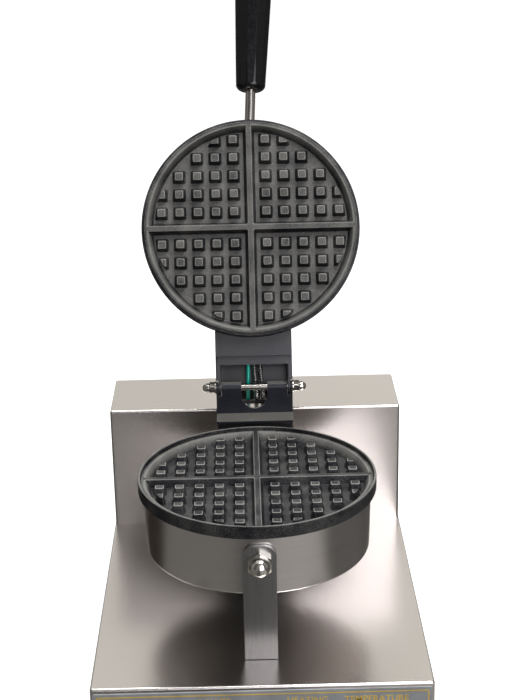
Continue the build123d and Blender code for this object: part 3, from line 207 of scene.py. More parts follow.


def coated(name, dark, light, roughness, grain, depth, coat=0.0, edge=0.0, spread=0.08, attribute=None,
           shine=0.5, painted_top_light=None):
    """A dark coat with a fine sandy grain, wear and painted light by a mesh attribute, and painted top light
    on its top faces.
    """
    look = Look(name, dark, roughness=roughness, Coat_Weight=coat, Coat_Roughness=0.12,
                Specular_IOR_Level=shine)
    place = look.place((1, 1, 1))
    fine = look.noise(place, scale=grain, detail=3.0, roughness=0.6)
    slow = look.noise(place, scale=45.0, detail=3.0)
    tone = look.math("ADD", look.math("MULTIPLY", fine, 0.65), look.math("MULTIPLY", slow, 0.35))
    # the attribute adds wear and painted highlights and shade to the coat's tone
    if attribute:
        wear_and_painted_light = look.node("ShaderNodeAttribute", attribute_name=attribute).outputs["Fac"]
        tone = look.math("ADD", tone, look.math("MULTIPLY", wear_and_painted_light, 0.5))
    tones = WEAR_AND_LIGHT_TONE if attribute else COAT_TONE
    surface = look.blend(look.span(tone, 0.0, 1.0, *tones), dark, light)
    # painted top light: faces that look up are lightened as if lit from above, patchy with the grain
    if painted_top_light:
        normal = look.node("ShaderNodeNewGeometry").outputs["Normal"]
        upward = look.node("ShaderNodeSeparateXYZ", {0: normal}).outputs[2]
        top_light_amount = look.math("MULTIPLY", look.span(upward, 0.0, 1.0, *TOP_LIGHT_FACING), look.span(tone, 0.75, 1.0))
        surface = look.blend(top_light_amount, surface, painted_top_light)
    look.colour(surface)
    look.rough(look.span(fine, roughness - spread, roughness + spread))
    look.relief(fine, depth, edge=edge)
    return look.material


def moulded(name, colour, roughness, grain=900.0, depth=0.00002, **sockets):
    """Moulded plastic or rubber with a light surface grain."""
    look = Look(name, colour, roughness=roughness, **sockets)
    place = look.place((1, 1, 1))
    fine = look.noise(place, scale=grain, detail=2.0)
    slow = look.noise(place, scale=60.0, detail=3.0)
    dark = tuple(0.8 * c for c in colour)
    light = tuple(min(1.0, 1.15 * c) for c in colour)
    look.colour(look.blend(look.span(slow, 0.0, 1.0), dark, light))
    look.rough(look.span(fine, max(0.02, roughness - 0.06), roughness + 0.06))
    look.relief(fine, depth)
    return look.material


def plated(name, colour, roughness, spread=0.05, edge=0.0):
    """Plated or polished metal with faint handling marks."""
    look = Look(name, colour, metallic=1.0, roughness=roughness)
    place = look.place((1, 1, 1))
    slow = look.noise(place, scale=120.0, detail=4.0)
    fine = look.noise(place, scale=1600.0, detail=2.0)
    look.colour(look.blend(look.span(slow, 0.0, 1.0), tuple(0.82 * c for c in colour), colour))
    look.rough(look.span(slow, max(0.02, roughness - spread), roughness + spread))
    look.relief(fine, 0.00002, edge=edge)
    return look.material


ALONG_X = (9.0, 2400.0, 2400.0)
ALONG_Z = (2400.0, 2400.0, 12.0)
STEEL = (0.60, 0.575, 0.55)
LOOKS = {
    "stainless": brushed("stainless_sheet", STEEL, ALONG_X, 0.23, 0.025, 0.000003, 0.55, "X", contrast=0.06),
    "drum_steel": brushed("drum_sheet", STEEL, (1.2, 1500.0), 0.24, 0.03, 0.000006, 0.5, "Z", turned=True,
                          contrast=0.07),
    "lid_drum_steel": brushed("lid_drum_sheet", STEEL, (1.2, 1500.0), 0.24, 0.03, 0.000006, turned=True,
                              closed=True, contrast=0.07),
    "bracket_steel": brushed("bracket_flat_bar", (0.32, 0.32, 0.315), ALONG_Z, 0.28, 0.015, 0.000002,
                             edge=0.0004, contrast=0.04),
    "rod_steel": brushed("handle_rod_bar", (0.55, 0.53, 0.50), (500.0, 40.0, 500.0), 0.22, 0.08, 0.00001,
                         closed=True),
    # nonstick coat: its mesh attribute paints highlights and shade as well as wear
    "nonstick": coated("nonstick_plate", (0.004, 0.004, 0.007), (0.30, 0.295, 0.275), 0.40, 1500.0, 0.00016,
                       attribute="wear_and_painted_light", shine=0.22),
    "black_steel": coated("black_powder_coat", (0.016, 0.016, 0.022), (0.044, 0.044, 0.046), 0.36, 1800.0,
                          0.00004, coat=0.10, edge=0.0005, shine=0.35),
    # hinge bracket coat with painted top light on its upward faces
    "top_lit_black_steel": coated("hinge_powder_coat", (0.010, 0.011, 0.018), (0.026, 0.027, 0.034), 0.34,
                                1800.0, 0.00004, coat=0.05, edge=0.0005, shine=0.25,
                                painted_top_light=(0.115, 0.112, 0.10)),
    "bakelite": coated("handle_bakelite", (0.0015, 0.0015, 0.002), (0.004, 0.004, 0.005), 0.20, 300.0,
                       0.000004, coat=0.12, edge=0.0005, spread=0.05, shine=0.35),
    "zinc": plated("zinc_plate", (0.62, 0.63, 0.64), 0.28, edge=0.0002),
    "bright_nut": plated("polished_nut", (0.64, 0.61, 0.56), 0.14, edge=0.0003),
    "element_steel": plated("heater_sheath", (0.30, 0.28, 0.27), 0.38, spread=0.1),
    "foot_rubber": moulded("foot_rubber_black", (0.022, 0.022, 0.022), 0.62),
    "black_plastic": moulded("black_plastic_moulded", (0.02, 0.02, 0.021), 0.42),
    "inner_plastic": moulded("inner_plastic_black", (0.07, 0.06, 0.05), 0.5),
    "knob_plastic": moulded("knob_plastic_black", (0.013, 0.013, 0.014), 0.25),
    "rocker_red": moulded("rocker_plastic_red", (0.42, 0.012, 0.012), 0.22, Coat_Weight=0.4),
    "lens_green": moulded("lens_plastic_green", (0.02, 0.30, 0.07), 0.12, Coat_Weight=0.6),
    "lens_red": moulded("lens_plastic_red", (0.50, 0.02, 0.012), 0.12, Coat_Weight=0.6),
    "panel_overlay": moulded("panel_print_grey", (0.36, 0.37, 0.385), 0.42, grain=1600.0),
    "panel_yellow": moulded("panel_print_yellow", (0.85, 0.58, 0.09), 0.4),
    "panel_white": moulded("panel_print_white", (0.75, 0.75, 0.73), 0.4),
    "earth_green": moulded("earth_insulation", (0.01, 0.62, 0.47), 0.32),
    "guard_wire": plated("spring_guard_wire", (0.88, 0.87, 0.85), 0.22),
    "lead_sleeve": moulded("lead_sleeve_black", (0.012, 0.012, 0.013), 0.45),
    "mineral_wool": moulded("mineral_fibre_board", (0.55, 0.52, 0.43), 0.9, grain=700.0, depth=0.0005),
}

# Nodes that look different from others with the same slot; the hinge bracket gets the coat with painted top
# light
SPECIAL_LOOKS = {"upper_drum": "lid_drum_steel", "hinge_bracket": "top_lit_black_steel"}
record_slots = {row["node"]: row["material_slot"] for row in frame["record"]["subparts"]}
for node, found in NODES.items():
    found.data.materials.clear()
    found.data.materials.append(LOOKS[SPECIAL_LOOKS.get(node, record_slots[node])])


# ------------------------------------------------------------------ mesh helpers
class Shell:
    """Points and faces collected ring by ring, in millimetres."""

    def __init__(self):
        self.points = []
        self.faces = []
        # per point: wear and painted light, with painted highlights on edges and painted shade on walls
        self.wear_and_painted_light = []

    def add(self, points, wear_and_painted_light=0.0):
        start = len(self.points)
        self.points.extend(Vector(p) for p in points)
        self.wear_and_painted_light.extend([wear_and_painted_light] * len(points))
        return list(range(start, start + len(points)))

    def bridge(self, first, second, closed=True):
        count = len(first)
        for i in range(count if closed else count - 1):
            j = (i + 1) % count
            self.faces.append((first[i], first[j], second[j], second[i]))

    def cap(self, ring, flip=False):
        self.faces.append(tuple(reversed(ring)) if flip else tuple(ring))

    def object(self, name, look, body, slot, move=None, smooth=True, sharp=None):
        mesh = bpy.data.meshes.new(name)
        move = move or Matrix.Identity(4)
        mesh.from_pydata([(move @ p) * MM for p in self.points], [], self.faces)
        # the coat's wear and painted light, stored as a mesh attribute
        mesh.attributes.new("wear_and_painted_light", "FLOAT", "POINT").data.foreach_set("value", self.wear_and_painted_light)
        mesh.polygons.foreach_set("use_smooth", [smooth] * len(mesh.polygons))
        mesh.materials.append(LOOKS[look])
        mesh.update()
        made = bpy.data.objects.new(name, mesh)
        bpy.context.scene.collection.objects.link(made)
        if sharp:
            mesh.set_sharp_from_angle(angle=math.radians(sharp))
        if smooth:
            weighted = made.modifiers.new("weighted", "WEIGHTED_NORMAL")
            weighted.keep_sharp = True
        if body:
            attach(made, body)
        return made


def circle(radius, height, count, centre=(0.0, 0.0)):
    return [(centre[0] + radius * math.cos(2 * math.pi * i / count),
             centre[1] + radius * math.sin(2 * math.pi * i / count), height) for i in range(count)]


def rounded(corners, steps=4):
    """An open outline of (x, y, corner radius) with its corners rounded."""
    line = [corners[0][:2]]
    for before, here, after in zip(corners, corners[1:], corners[2:]):
        b, h, a = (Vector(c[:2]) for c in (before, here, after))
        radius = here[2]
        if radius <= 0:
            line.append(tuple(h))
            continue
        into, out = (b - h).normalized(), (a - h).normalized()
        half = into.angle(out) / 2
        reach = min(radius / math.tan(half), 0.49 * (b - h).length, 0.49 * (a - h).length)
        radius = reach * math.tan(half)
        centre = h + (into + out).normalized() * (radius / math.sin(half))
        start, end = h + into * reach - centre, h + out * reach - centre
        turn = start.angle_signed(end)
        for k in range(steps + 1):
            line.append(tuple(centre + Matrix.Rotation(-turn * k / steps, 2) @ start))
    line.append(corners[-1][:2])
    return line


def turned_shell(shell, outline, count, wear_and_painted_light):
    """Rings of a turned outline of (radius, height). Returns the first and the last ring."""
    rings = [shell.add(circle(r, h, count), wear_and_painted_light(r, h)) for r, h in outline]
    for first, second in zip(rings, rings[1:]):
        shell.bridge(first, second)
    return rings[0], rings[-1]


# ------------------------------------------------------------------ waffle plates
GRID = 16.0  # pitch of the bumps
FIRST_LINE = 0.88 * GRID  # from the plate's middle to the first row of bumps
CAVITY_R = 90.0
FLOOR_R = 86.0  # foot of the cavity's wall
PLATE_R = 96.0
LIP_R = 94.0  # inside of the lower plate's raised lip
LAND_R = 93.3  # outer edge of the ring where the plates meet
BACK_R = 89.0  # the plate's back, inside the drum
GROOVE_DEPTH = 1.0  # between the land and the lip
BUMP_FOOT = 5.35  # half widths of a bump
BUMP_HEAD = 3.5
BUMP_H = 6.4
BUMP_CUT_R = 84.9  # bumps near the wall are cut back to this radius
BUMP_CUT_LEAN = 0.12  # how much the cut leans in with height
BAR_FOOT = 4.3  # half widths of a bar
BAR_HEAD = 2.5
BAR_CORNER = 1.6
BAR_STEPS = 10  # points along one side of a bar
RIM_COUNT = 224
BUMP_COUNT = 32
SQUARENESS = 9.0  # the power of the rounded square: 2 is a circle
BOSS_R = 9.0
SCREW_BOSS_R = 6.0
SCREW_BOSS_AT = 29.7
BOSS_COUNT = 24
BACK = -7.2
BACK_HOLE_R = 20.0  # where the turned back meets its flat middle
HIGHLIGHT_BAND = 0.4  # the stretch below a top edge painted light as a highlight


def bump_places():
    steps = [FIRST_LINE + GRID * k for k in range(5)]
    lines = [-s for s in steps] + steps
    return [(x, y) for x in lines for y in lines if math.hypot(x, y) < CAVITY_R - 6]


def bump_ring(place, half, cut):
    """A rounded square round a bump's middle, cut back to the cavity."""
    middle = Vector(place)
    inside = cut - 2.6
    hub = middle * min(1.0, inside / middle.length)
    ring = []
    for k in range(BUMP_COUNT):
        angle = 2 * math.pi * (k + 0.5) / BUMP_COUNT
        c, s = math.cos(angle), math.sin(angle)
        x = math.copysign(abs(c) ** (2 / SQUARENESS), c)
        y = math.copysign(abs(s) ** (2 / SQUARENESS), s)
        point = middle + Vector((x, y)) * half
        if point.length > cut:
            step = point - hub
            a, b, q = step.length_squared, hub.dot(step), hub.length_squared - cut * cut
            point = hub + step * ((-b + math.sqrt(b * b - a * q)) / a)
        ring.append(point)
    return ring


def bump_profile():
    """Half width and height of a bump from its foot to its head, with a fillet at both."""
    corners = [(BUMP_FOOT + 1.2, 0, 0), (BUMP_FOOT, 0, 0.9), (BUMP_HEAD, BUMP_H, 1.0), (0, BUMP_H, 0)]
    return rounded(corners)[1:-1]


def bar_profile():
    """The same for a bar of the cross."""
    corners = [(BAR_FOOT + 1.5, 0, 0), (BAR_FOOT, 0, 1.2), (BAR_HEAD, CAVITY_DEPTH, 1.1),
               (0, CAVITY_DEPTH, 0)]
    return rounded(corners)[1:-1]


def cross_ring(half, height, reach):
    """The outline of the crossed bars, with rounded inner corners."""
    inner = half + BAR_CORNER
    side = [Vector((reach + (inner - reach) * k / BAR_STEPS, half)) for k in range(BAR_STEPS + 1)]
    for k in range(1, 5):
        angle = math.radians(90 * k / 5)
        side.append(Vector((inner - BAR_CORNER * math.sin(angle), inner - BAR_CORNER * math.cos(angle))))
    side.extend(Vector((half, inner + (reach - inner) * k / BAR_STEPS)) for k in range(BAR_STEPS + 1))
    ring = []
    for quarter in range(4):
        ring.extend(Matrix.Rotation(math.radians(90 * quarter), 2) @ p for p in side)
    return [(p.x, p.y, height) for p in ring]


def rim_wear_and_light(floor_painted_light):
    """Wear and painted light on the turned part of a plate: painted highlights on its edges, painted shade on
    its walls.
    """

    def wear_and_painted_light(radius, height):
        if radius < FLOOR_R - 0.4:
            return floor_painted_light
        cavity_edge = abs(radius - CAVITY_R) < 0.9 and height > CAVITY_DEPTH - 0.9
        land_edge = abs(radius - LAND_R) < 0.4 and height > CAVITY_DEPTH - 0.6
        # painted highlights along the cavity's and the land's top edges, and on the lip
        if cavity_edge or land_edge:
            return 0.55
        if radius > LIP_R and height > CAVITY_DEPTH + LIP_H - 0.4:
            return 0.35
        # the land's top a little lighter, and painted shade on the walls
        return 0.20 if height > CAVITY_DEPTH - 0.2 and radius < LAND_R - 0.8 else 0.03

    return wear_and_painted_light


def top_wear_and_highlight_at(height, top, flat, edge):
    """Wear and painted light at a height of a bump or bar: flat on its top, a painted highlight band just
    below it, painted shade lower down.
    """
    if height > top - 0.02:
        return flat
    return edge if height > top - HIGHLIGHT_BAND else 0.0


def add_bumps(shell, floor_painted_light, top_wear_and_light):
    """The bumps without their feet's insides. Returns the rings where they meet the floor."""
    feet = []
    for place in bump_places():
        rings = []
        for half, height in bump_profile():
            ring = bump_ring(place, half, BUMP_CUT_R - BUMP_CUT_LEAN * height)
            at_foot = height < 0.02 and half > BUMP_FOOT + 0.3
            # the foot takes the floor's painted light; the walls get painted shade, the top edge a painted
            # highlight
            wear_and_painted_light = floor_painted_light if at_foot else top_wear_and_highlight_at(height, BUMP_H, top_wear_and_light, 0.9)
            rings.append(shell.add([(p.x, p.y, height) for p in ring], wear_and_painted_light))
        for lower, upper in zip(rings, rings[1:]):
            shell.bridge(lower, upper)
        shell.cap(rings[-1])
        feet.append(rings[0])
    return feet


def add_floor(shell, rim, feet):
    """The cavity's floor: flat faces between the rim and the bumps' feet."""
    loops = [rim, *feet]
    index = [i for loop in loops for i in loop]
    flat = [shell.points[i].to_2d() for i in index]
    outlines, start = [], 0
    for loop in loops:
        outlines.append(list(range(start, start + len(loop))))
        start += len(loop)
    _, _, faces, origins, _, sources = delaunay_2d_cdt(flat, [], outlines, 1, 1e-4)
    for face, source in zip(faces, sources):
        if list(source) == [0]:  # inside the rim and in no bump
            shell.faces.append(tuple(index[origins[i][0]] for i in face))


def add_bars(shell, top_wear_and_light):
    """The cross of bars, sunk a little into the floor and ending in the cavity's wall."""
    rings = [shell.add(cross_ring(BAR_FOOT + 0.6, -1.5, CAVITY_R - 2.5), 0.0)]
    for half, height in bar_profile():
        reach = CAVITY_R + 1.6 - (CAVITY_R - FLOOR_R) * (1 - height / CAVITY_DEPTH)
        # painted highlight along the bars' top edges, painted shade on their walls
        wear_and_painted_light = top_wear_and_highlight_at(height, CAVITY_DEPTH, top_wear_and_light, 0.55)
        rings.append(shell.add(cross_ring(half, height, reach), wear_and_painted_light))
    for lower, upper in zip(rings, rings[1:]):
        shell.bridge(lower, upper)
    shell.cap(rings[0], flip=True)
    shell.cap(rings[-1])


def add_bosses(shell):
    """The middle boss and the four screw bosses on the plate's back."""
    corners = [(SCREW_BOSS_AT * a, SCREW_BOSS_AT * b) for a in (-1, 1) for b in (-1, 1)]
    for radius, places in ((BOSS_R, [(0.0, 0.0)]), (SCREW_BOSS_R, corners)):
        for place in places:
            low = shell.add(circle(radius, BACK - 8.0, BOSS_COUNT, place))
            high = shell.add(circle(radius, BACK + 0.5, BOSS_COUNT, place))
            shell.bridge(low, high)
            shell.cap(low, flip=True)
            shell.cap(high)


def waffle_plate(name, body, edge_outline, turn, floor_painted_light, top_wear_and_light):
    """A cast waffle plate, drawn with its cavity floor at height 0 and facing up."""
    shell = Shell()
    outline = rounded([(FLOOR_R - 4, 0, 0), (FLOOR_R, 0, 1.2), *edge_outline])[1:]
    rim, back_ring = turned_shell(shell, outline, RIM_COUNT, rim_wear_and_light(floor_painted_light))
    shell.cap(back_ring, flip=True)
    feet = add_bumps(shell, floor_painted_light, top_wear_and_light)
    add_floor(shell, rim, feet)
    add_bars(shell, top_wear_and_light)
    add_bosses(shell)
    made = shell.object(name, "nonstick", body, "nonstick", turn, sharp=50)
    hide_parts(name.replace("_casting", ""))


def plate_back(band):
    """The end of a plate's outline, from its band to its back."""
    return [(PLATE_R, band, 0.6), (BACK_R, band, 0.3), (BACK_R, BACK, 0.4), (BACK_HOLE_R, BACK, 0)]


GROOVE = CAVITY_DEPTH - GROOVE_DEPTH
LIP = CAVITY_DEPTH + LIP_H
lower_edge = [(CAVITY_R, CAVITY_DEPTH, 0.9), (LAND_R, CAVITY_DEPTH, 0.5), (LAND_R + 0.2, GROOVE, 0.3),
              (LIP_R, GROOVE, 0.3), (LIP_R, LIP, 0.7), (PLATE_R, LIP, 0.9), *plate_back(-0.8)]
upper_edge = [(CAVITY_R, CAVITY_DEPTH, 0.9), (LAND_R, CAVITY_DEPTH, 0.5),
              (LAND_R + 0.1, CAVITY_DEPTH - LIP_H, 0.3), (PLATE_R, CAVITY_DEPTH - LIP_H, 0.9),
              *plate_back(-3.8)]
# the lower plate's coat is painted darker, in shade under the lid, and the upper plate's lighter, as if lit
waffle_plate("lower_plate_casting", "base", lower_edge, Matrix.Translation((0, AXIS_Y, FLOOR)), 0.05, 0.05)
face_down = Matrix.Translation((0, AXIS_Y, UPPER_FLOOR)) @ Matrix.Rotation(math.pi, 4, "X")
waffle_plate("upper_plate_casting", "lid", upper_edge, lid_turn() @ face_down, 0.32, 0.26)


# ------------------------------------------------------------------ leads through the hinge
def curve_points(points):
    """Points along a smooth line that has these as its control points."""
    data = bpy.data.curves.new("route", "CURVE")
    data.dimensions = "3D"
    data.resolution_u = 24
    spline = data.splines.new("NURBS")
    spline.points.add(len(points) - 1)
    for point, place in zip(spline.points, points):
        point.co = (*place, 1.0)
    spline.order_u = 3
    spline.use_endpoint_u = True
    holder = bpy.data.objects.new("route", data)
    mesh = bpy.data.meshes.new_from_object(holder)
    line = [v.co.copy() for v in mesh.vertices]
    bpy.data.objects.remove(holder)
    bpy.data.meshes.remove(mesh)
    bpy.data.curves.remove(data)
    return line


def resample(line, pitch):
    """Points an even distance apart along a line."""
    total = sum((b - a).length for a, b in zip(line, line[1:]))
    count = max(2, round(total / pitch))
    step = total / count
    out, gone, want = [line[0]], 0.0, step
    for a, b in zip(line, line[1:]):
        length = (b - a).length
        while want <= gone + length + 1e-6 and len(out) <= count:
            out.append(a.lerp(b, min(1.0, (want - gone) / max(length, 1e-9))))
            want += step
        gone += length
    return out


def frames_along(line):
    """Each point of a line with two directions across it that don't twist."""
    across = None
    for i, point in enumerate(line):
        run = (line[min(i + 1, len(line) - 1)] - line[max(i - 1, 0)]).normalized()
        if across is None:
            across = run.orthogonal().normalized()
        across = (across - run * across.dot(run)).normalized()
        yield point, across, run.cross(across)


def sweep(shell, line, radius, sides):
    """A closed tube along a line."""
    rings = []
    for point, a, b in frames_along(line):
        rings.append(shell.add([point + (a * math.cos(t) + b * math.sin(t)) * radius
                                for t in (2 * math.pi * k / sides for k in range(sides))]))
    for first, second in zip(rings, rings[1:]):
        shell.bridge(first, second)
    shell.cap(rings[0], flip=True)
    shell.cap(rings[-1])


BLOCK_Y = AXIS_Y + 178.0
BLOCK_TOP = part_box("terminal_block")[1].z / MM


def hinge_lead(x_low, x_hinge, x_top, end_x):
    """The route of a lead from the terminal block up through the grommet, past the pin and along the arm."""
    return [(x_low, BLOCK_Y, BLOCK_TOP + 0.4), (x_low, BLOCK_Y + 3, 62.0), (x_low, BLOCK_Y - 2, 104.0),
            (x_low, AXIS_Y + 174.0, 146.0), (x_low, AXIS_Y + 171.0, 180.0), (x_hinge, AXIS_Y + 168.5, 205.0),
            lid_point(x_hinge, -2.0, 6.8), lid_point(x_top, 20.0, 4.0), lid_point(x_top, 38.0, 2.4),
            lid_point(end_x, 56.0, 2.8)]


def bend_over_hinge(piece):
    """Bakes a lead's placement into its mesh; its route runs along the base up to the grommet and the lid
    from inside the arm, but it is attached to neither.
    """
    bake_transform(piece)


EARTH_R = 1.6
earth = Shell()
sweep(earth, resample(curve_points(hinge_lead(-6.0, -5.6, -4.8, -4.6)), 1.5), EARTH_R, 14)
earth_lead = earth.object("earth_lead", "earth_green", None, "earth_green")
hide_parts("earth_wire")
bend_over_hinge(earth_lead)

SLEEVE_R = 1.8
GUARD_R = 0.32  # of the guard's wire
COIL_R = 1.95  # from the lead's middle to the guard's wire
COIL_SIDES = 12  # points in one turn of the guard's wire
GUARD_PITCH = 2.1
sleeves, guards = Shell(), Shell()
for ends in ((4.0, 1.6, -0.2, 0.2), (14.0, 7.0, 5.2, 5.2)):
    route = resample(curve_points(hinge_lead(*ends)), GUARD_PITCH / COIL_SIDES)
    sweep(sleeves, route[::COIL_SIDES // 2], SLEEVE_R, 12)
    coil = []
    for i, (point, a, b) in enumerate(frames_along(route)):
        turn = 2 * math.pi * i / COIL_SIDES
        coil.append(point + (a * math.cos(turn) + b * math.sin(turn)) * COIL_R)
    sweep(guards, coil, GUARD_R, 5)
sleeve_piece = sleeves.object("heater_lead_sleeves", "lead_sleeve", None, "lead_sleeve")
guard_piece = guards.object("heater_lead_guards", "guard_wire", None, "lead_sleeve")
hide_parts("heater_leads")
for piece in (sleeve_piece, guard_piece):
    bend_over_hinge(piece)


# ------------------------------------------------------------------ printing on the control panel
PRINT_T = 0.06  # thickness of the printing
PRINT_SINK = 0.02  # how far lines reach into the panel
KNOB_Z = 47.0
KNOB_X = 86.0
LAMP_X = 36.0
TICK_IN = 21.4  # radii of the dial marks
TICK_OUT = 23.6
TICK_OUT_LONG = 24.6
TICK_W = 0.7


def print_object(name, look, build_faces):
    shell = Shell()
    build_faces(shell)
    shell.object(name, look, "base", "panel_overlay", smooth=False)


def flat_strip(shell, points, width, closed=True):
    """A line of a width printed on the panel's face, from (x, z) points with mitred corners."""
    count = len(points)
    inner, outer = [], []
    for i, point in enumerate(points):
        here = Vector(point)
        before, after = Vector(points[i - 1]), Vector(points[(i + 1) % count])
        if not closed and i == 0:
            before = here * 2 - after
        if not closed and i == count - 1:
            after = here * 2 - before
        run_in, run_out = (here - before).normalized(), (after - here).normalized()
        normal = Vector((-(run_in + run_out).y, (run_in + run_out).x)).normalized()
        mitre = width / 2 / max(0.3, normal.dot(Vector((-run_in.y, run_in.x))))
        inner.append(here - normal * mitre)
        outer.append(here + normal * mitre)
    face, sunk = PANEL_Y - PRINT_T, PANEL_Y + PRINT_SINK
    loops = [shell.add([(p.x, y, p.y) for p in side])
             for side, y in ((inner, face), (outer, face), (inner, sunk), (outer, sunk))]
    shell.bridge(loops[0], loops[1], closed)
    shell.bridge(loops[3], loops[2], closed)
    shell.bridge(loops[1], loops[3], closed)
    shell.bridge(loops[2], loops[0], closed)
    if not closed:
        for end in (0, -1):
            shell.cap([loops[0][end], loops[1][end], loops[3][end], loops[2][end]], flip=end == 0)


BORDER_IN = 3.0  # from the panel's side edges to the printed line
BORDER_DOWN = 2.9  # from its top and bottom edges
BORDER_CORNER = 1.2
BORDER_W = 0.9


def border(shell):
    reach, top, bottom = PANEL_HALF - BORDER_IN, PANEL_TOP - BORDER_DOWN, PANEL_BOTTOM + BORDER_DOWN
    points = []
    for x, z, start in ((reach, top, 0), (-reach, top, 90), (-reach, bottom, 180), (reach, bottom, 270)):
        cx = x - math.copysign(BORDER_CORNER, x)
        cz = z - BORDER_CORNER if z == top else z + BORDER_CORNER
        for k in range(5):
            angle = math.radians(start + 90 * k / 4)
            points.append((cx + BORDER_CORNER * math.cos(angle), cz + BORDER_CORNER * math.sin(angle)))
    flat_strip(shell, points, BORDER_W)


def dial_marks(shell):
    for x in (-KNOB_X, KNOB_X):
        for k in range(11):
            angle = math.radians(90 - 30 * k)
            run = Vector((math.cos(angle), math.sin(angle)))
            near = Vector((x, KNOB_Z)) + run * TICK_IN
            far = Vector((x, KNOB_Z)) + run * (TICK_OUT if k % 2 else TICK_OUT_LONG)
            flat_strip(shell, [tuple(near), tuple(far)], TICK_W, closed=False)


print_object("panel_border", "panel_yellow", border)
print_object("dial_marks", "panel_white", dial_marks)


def words(name, look, text, x, z, size):
    """Plain printed words or figures on the panel's face."""
    data = bpy.data.curves.new(name, "FONT")
    data.body = text
    data.size = size * MM
    data.align_x = "CENTER"
    data.align_y = "CENTER"
    data.extrude = PRINT_T / 2 * MM
    data.offset = 0.012 * size * MM
    holder = bpy.data.objects.new(name + "_text", data)
    mesh = bpy.data.meshes.new_from_object(holder)
    bpy.data.objects.remove(holder)
    bpy.data.curves.remove(data)
    mesh.name = name
    place = Matrix.Translation(Vector((x, PANEL_Y - PRINT_T / 2, z)) * MM)
    mesh.transform(place @ Matrix.Rotation(math.pi / 2, 4, "X"))
    mesh.materials.clear()
    mesh.materials.append(LOOKS[look])
    made = bpy.data.objects.new(name, mesh)
    bpy.context.scene.collection.objects.link(made)
    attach(made, "base")


WORD_Z = 79.3
WORD_SIZE = 7.4
FIGURE_SIZE = 4.6
FIGURES_ACROSS = 28.0  # half axes of the oval that the figures sit on
FIGURES_UP = 27.2
for name, text, x in (("word_timer", "TIMER", -KNOB_X), ("word_power", "POWER", -LAMP_X),
                      ("word_heat", "HEATING", LAMP_X - 2), ("word_temperature", "TEMPERATURE", KNOB_X)):
    words(name, "panel_yellow", text, x, WORD_Z, WORD_SIZE)
for x, figures, label in ((-KNOB_X, ("0", "2", "4", "6", "8", "10"), "minutes"),
                          (KNOB_X, ("0", "50", "100", "150", "200", "250"), "degrees")):
    for k, figure in enumerate(figures):
        angle = math.radians(90 - 60 * k)
        words(f"dial_{label}_{figure}", "panel_white", figure, x + FIGURES_ACROSS * math.cos(angle),
              KNOB_Z + FIGURES_UP * math.sin(angle), FIGURE_SIZE)

# ------------------------------------------------------------------ floor, light and camera
FLOOR_REACH = 30.0
floor_mesh = bpy.data.meshes.new("studio_floor")
floor_mesh.from_pydata([(x, y, 0) for x, y in ((-FLOOR_REACH, -FLOOR_REACH), (FLOOR_REACH, -FLOOR_REACH),
                                               (FLOOR_REACH, FLOOR_REACH), (-FLOOR_REACH, FLOOR_REACH))],
                       [], [(0, 1, 2, 3)])
floor = bpy.data.objects.new("studio_floor", floor_mesh)
bpy.context.scene.collection.objects.link(floor)
floor_look = Look("studio_floor_white", (0.50, 0.50, 0.50), roughness=1.0, Specular_IOR_Level=0.0,
                  Emission_Color=(1.0, 1.0, 1.0, 1.0), Emission_Strength=0.80)
floor_mesh.materials.append(floor_look.material)
floor.visible_diffuse = False
floor.visible_glossy = False

# The reflections come from a painted room that only glossy rays see: (azimuth, half width, soft edge,
# lowest and highest elevation, soft edge, strength, colour). Azimuth 0 is the front, positive to the right.
ROOM_BASE = 0.10
ROOM_CARDS = [
    (180, 30, 18, 4, 48, 14, 0.72, (1.0, 0.965, 0.90)),
    (158, 16, 10, 4, 48, 14, 0.12, (1.0, 0.97, 0.93)),
    (22, 16, 6, 2, 36, 9, 4.6, (1.0, 0.97, 1.02)),
    (-19, 11, 6, 2, 38, 12, 0.15, (1.0, 0.97, 0.95)),
    (80, 12, 10, 5, 60, 15, 0.20, (1.0, 0.98, 0.94)),
    (-80, 12, 10, 5, 60, 15, 0.18, (1.0, 0.98, 0.94)),
    (0, 180, 1, 66, 95, 12, 0.70, (1, 1, 1)),
    (29, 17, 12, -90, -5, 6, 0.36, (1.0, 0.97, 0.95)),
    (84, 12, 10, -90, -5, 6, 0.03, (1.0, 0.96, 0.90)),
    (-52, 30, 12, -90, -5, 6, 0.10, (1.0, 0.97, 0.93)),
    (-108, 18, 8, -90, -5, 6, -0.075, (0.95, 1.0, 1.0)),
]


def soft(value, low, high, edge):
    """1 between low and high, falling to 0 over the edge width outside them."""
    outside = max(low - value, value - high, 0.0) / edge
    return max(0.0, 1 - outside) ** 2 * (3 - 2 * max(0.0, 1 - outside)) if outside < 1 else 0.0


def room_light(direction):
    azimuth = math.degrees(math.atan2(direction.x, -direction.y))
    elevation = math.degrees(math.asin(max(-1, min(1, direction.z))))
    total = Vector((1.0, 0.97, 0.93)) * ROOM_BASE
    for middle, half, edge, low, high, rise, strength, tint in ROOM_CARDS:
        off = (azimuth - middle + 180) % 360 - 180
        amount = soft(off, -half, half, edge) * soft(elevation, low, high, rise)
        total += Vector(tint) * (strength * amount)
    return [max(0.0, c) for c in total]


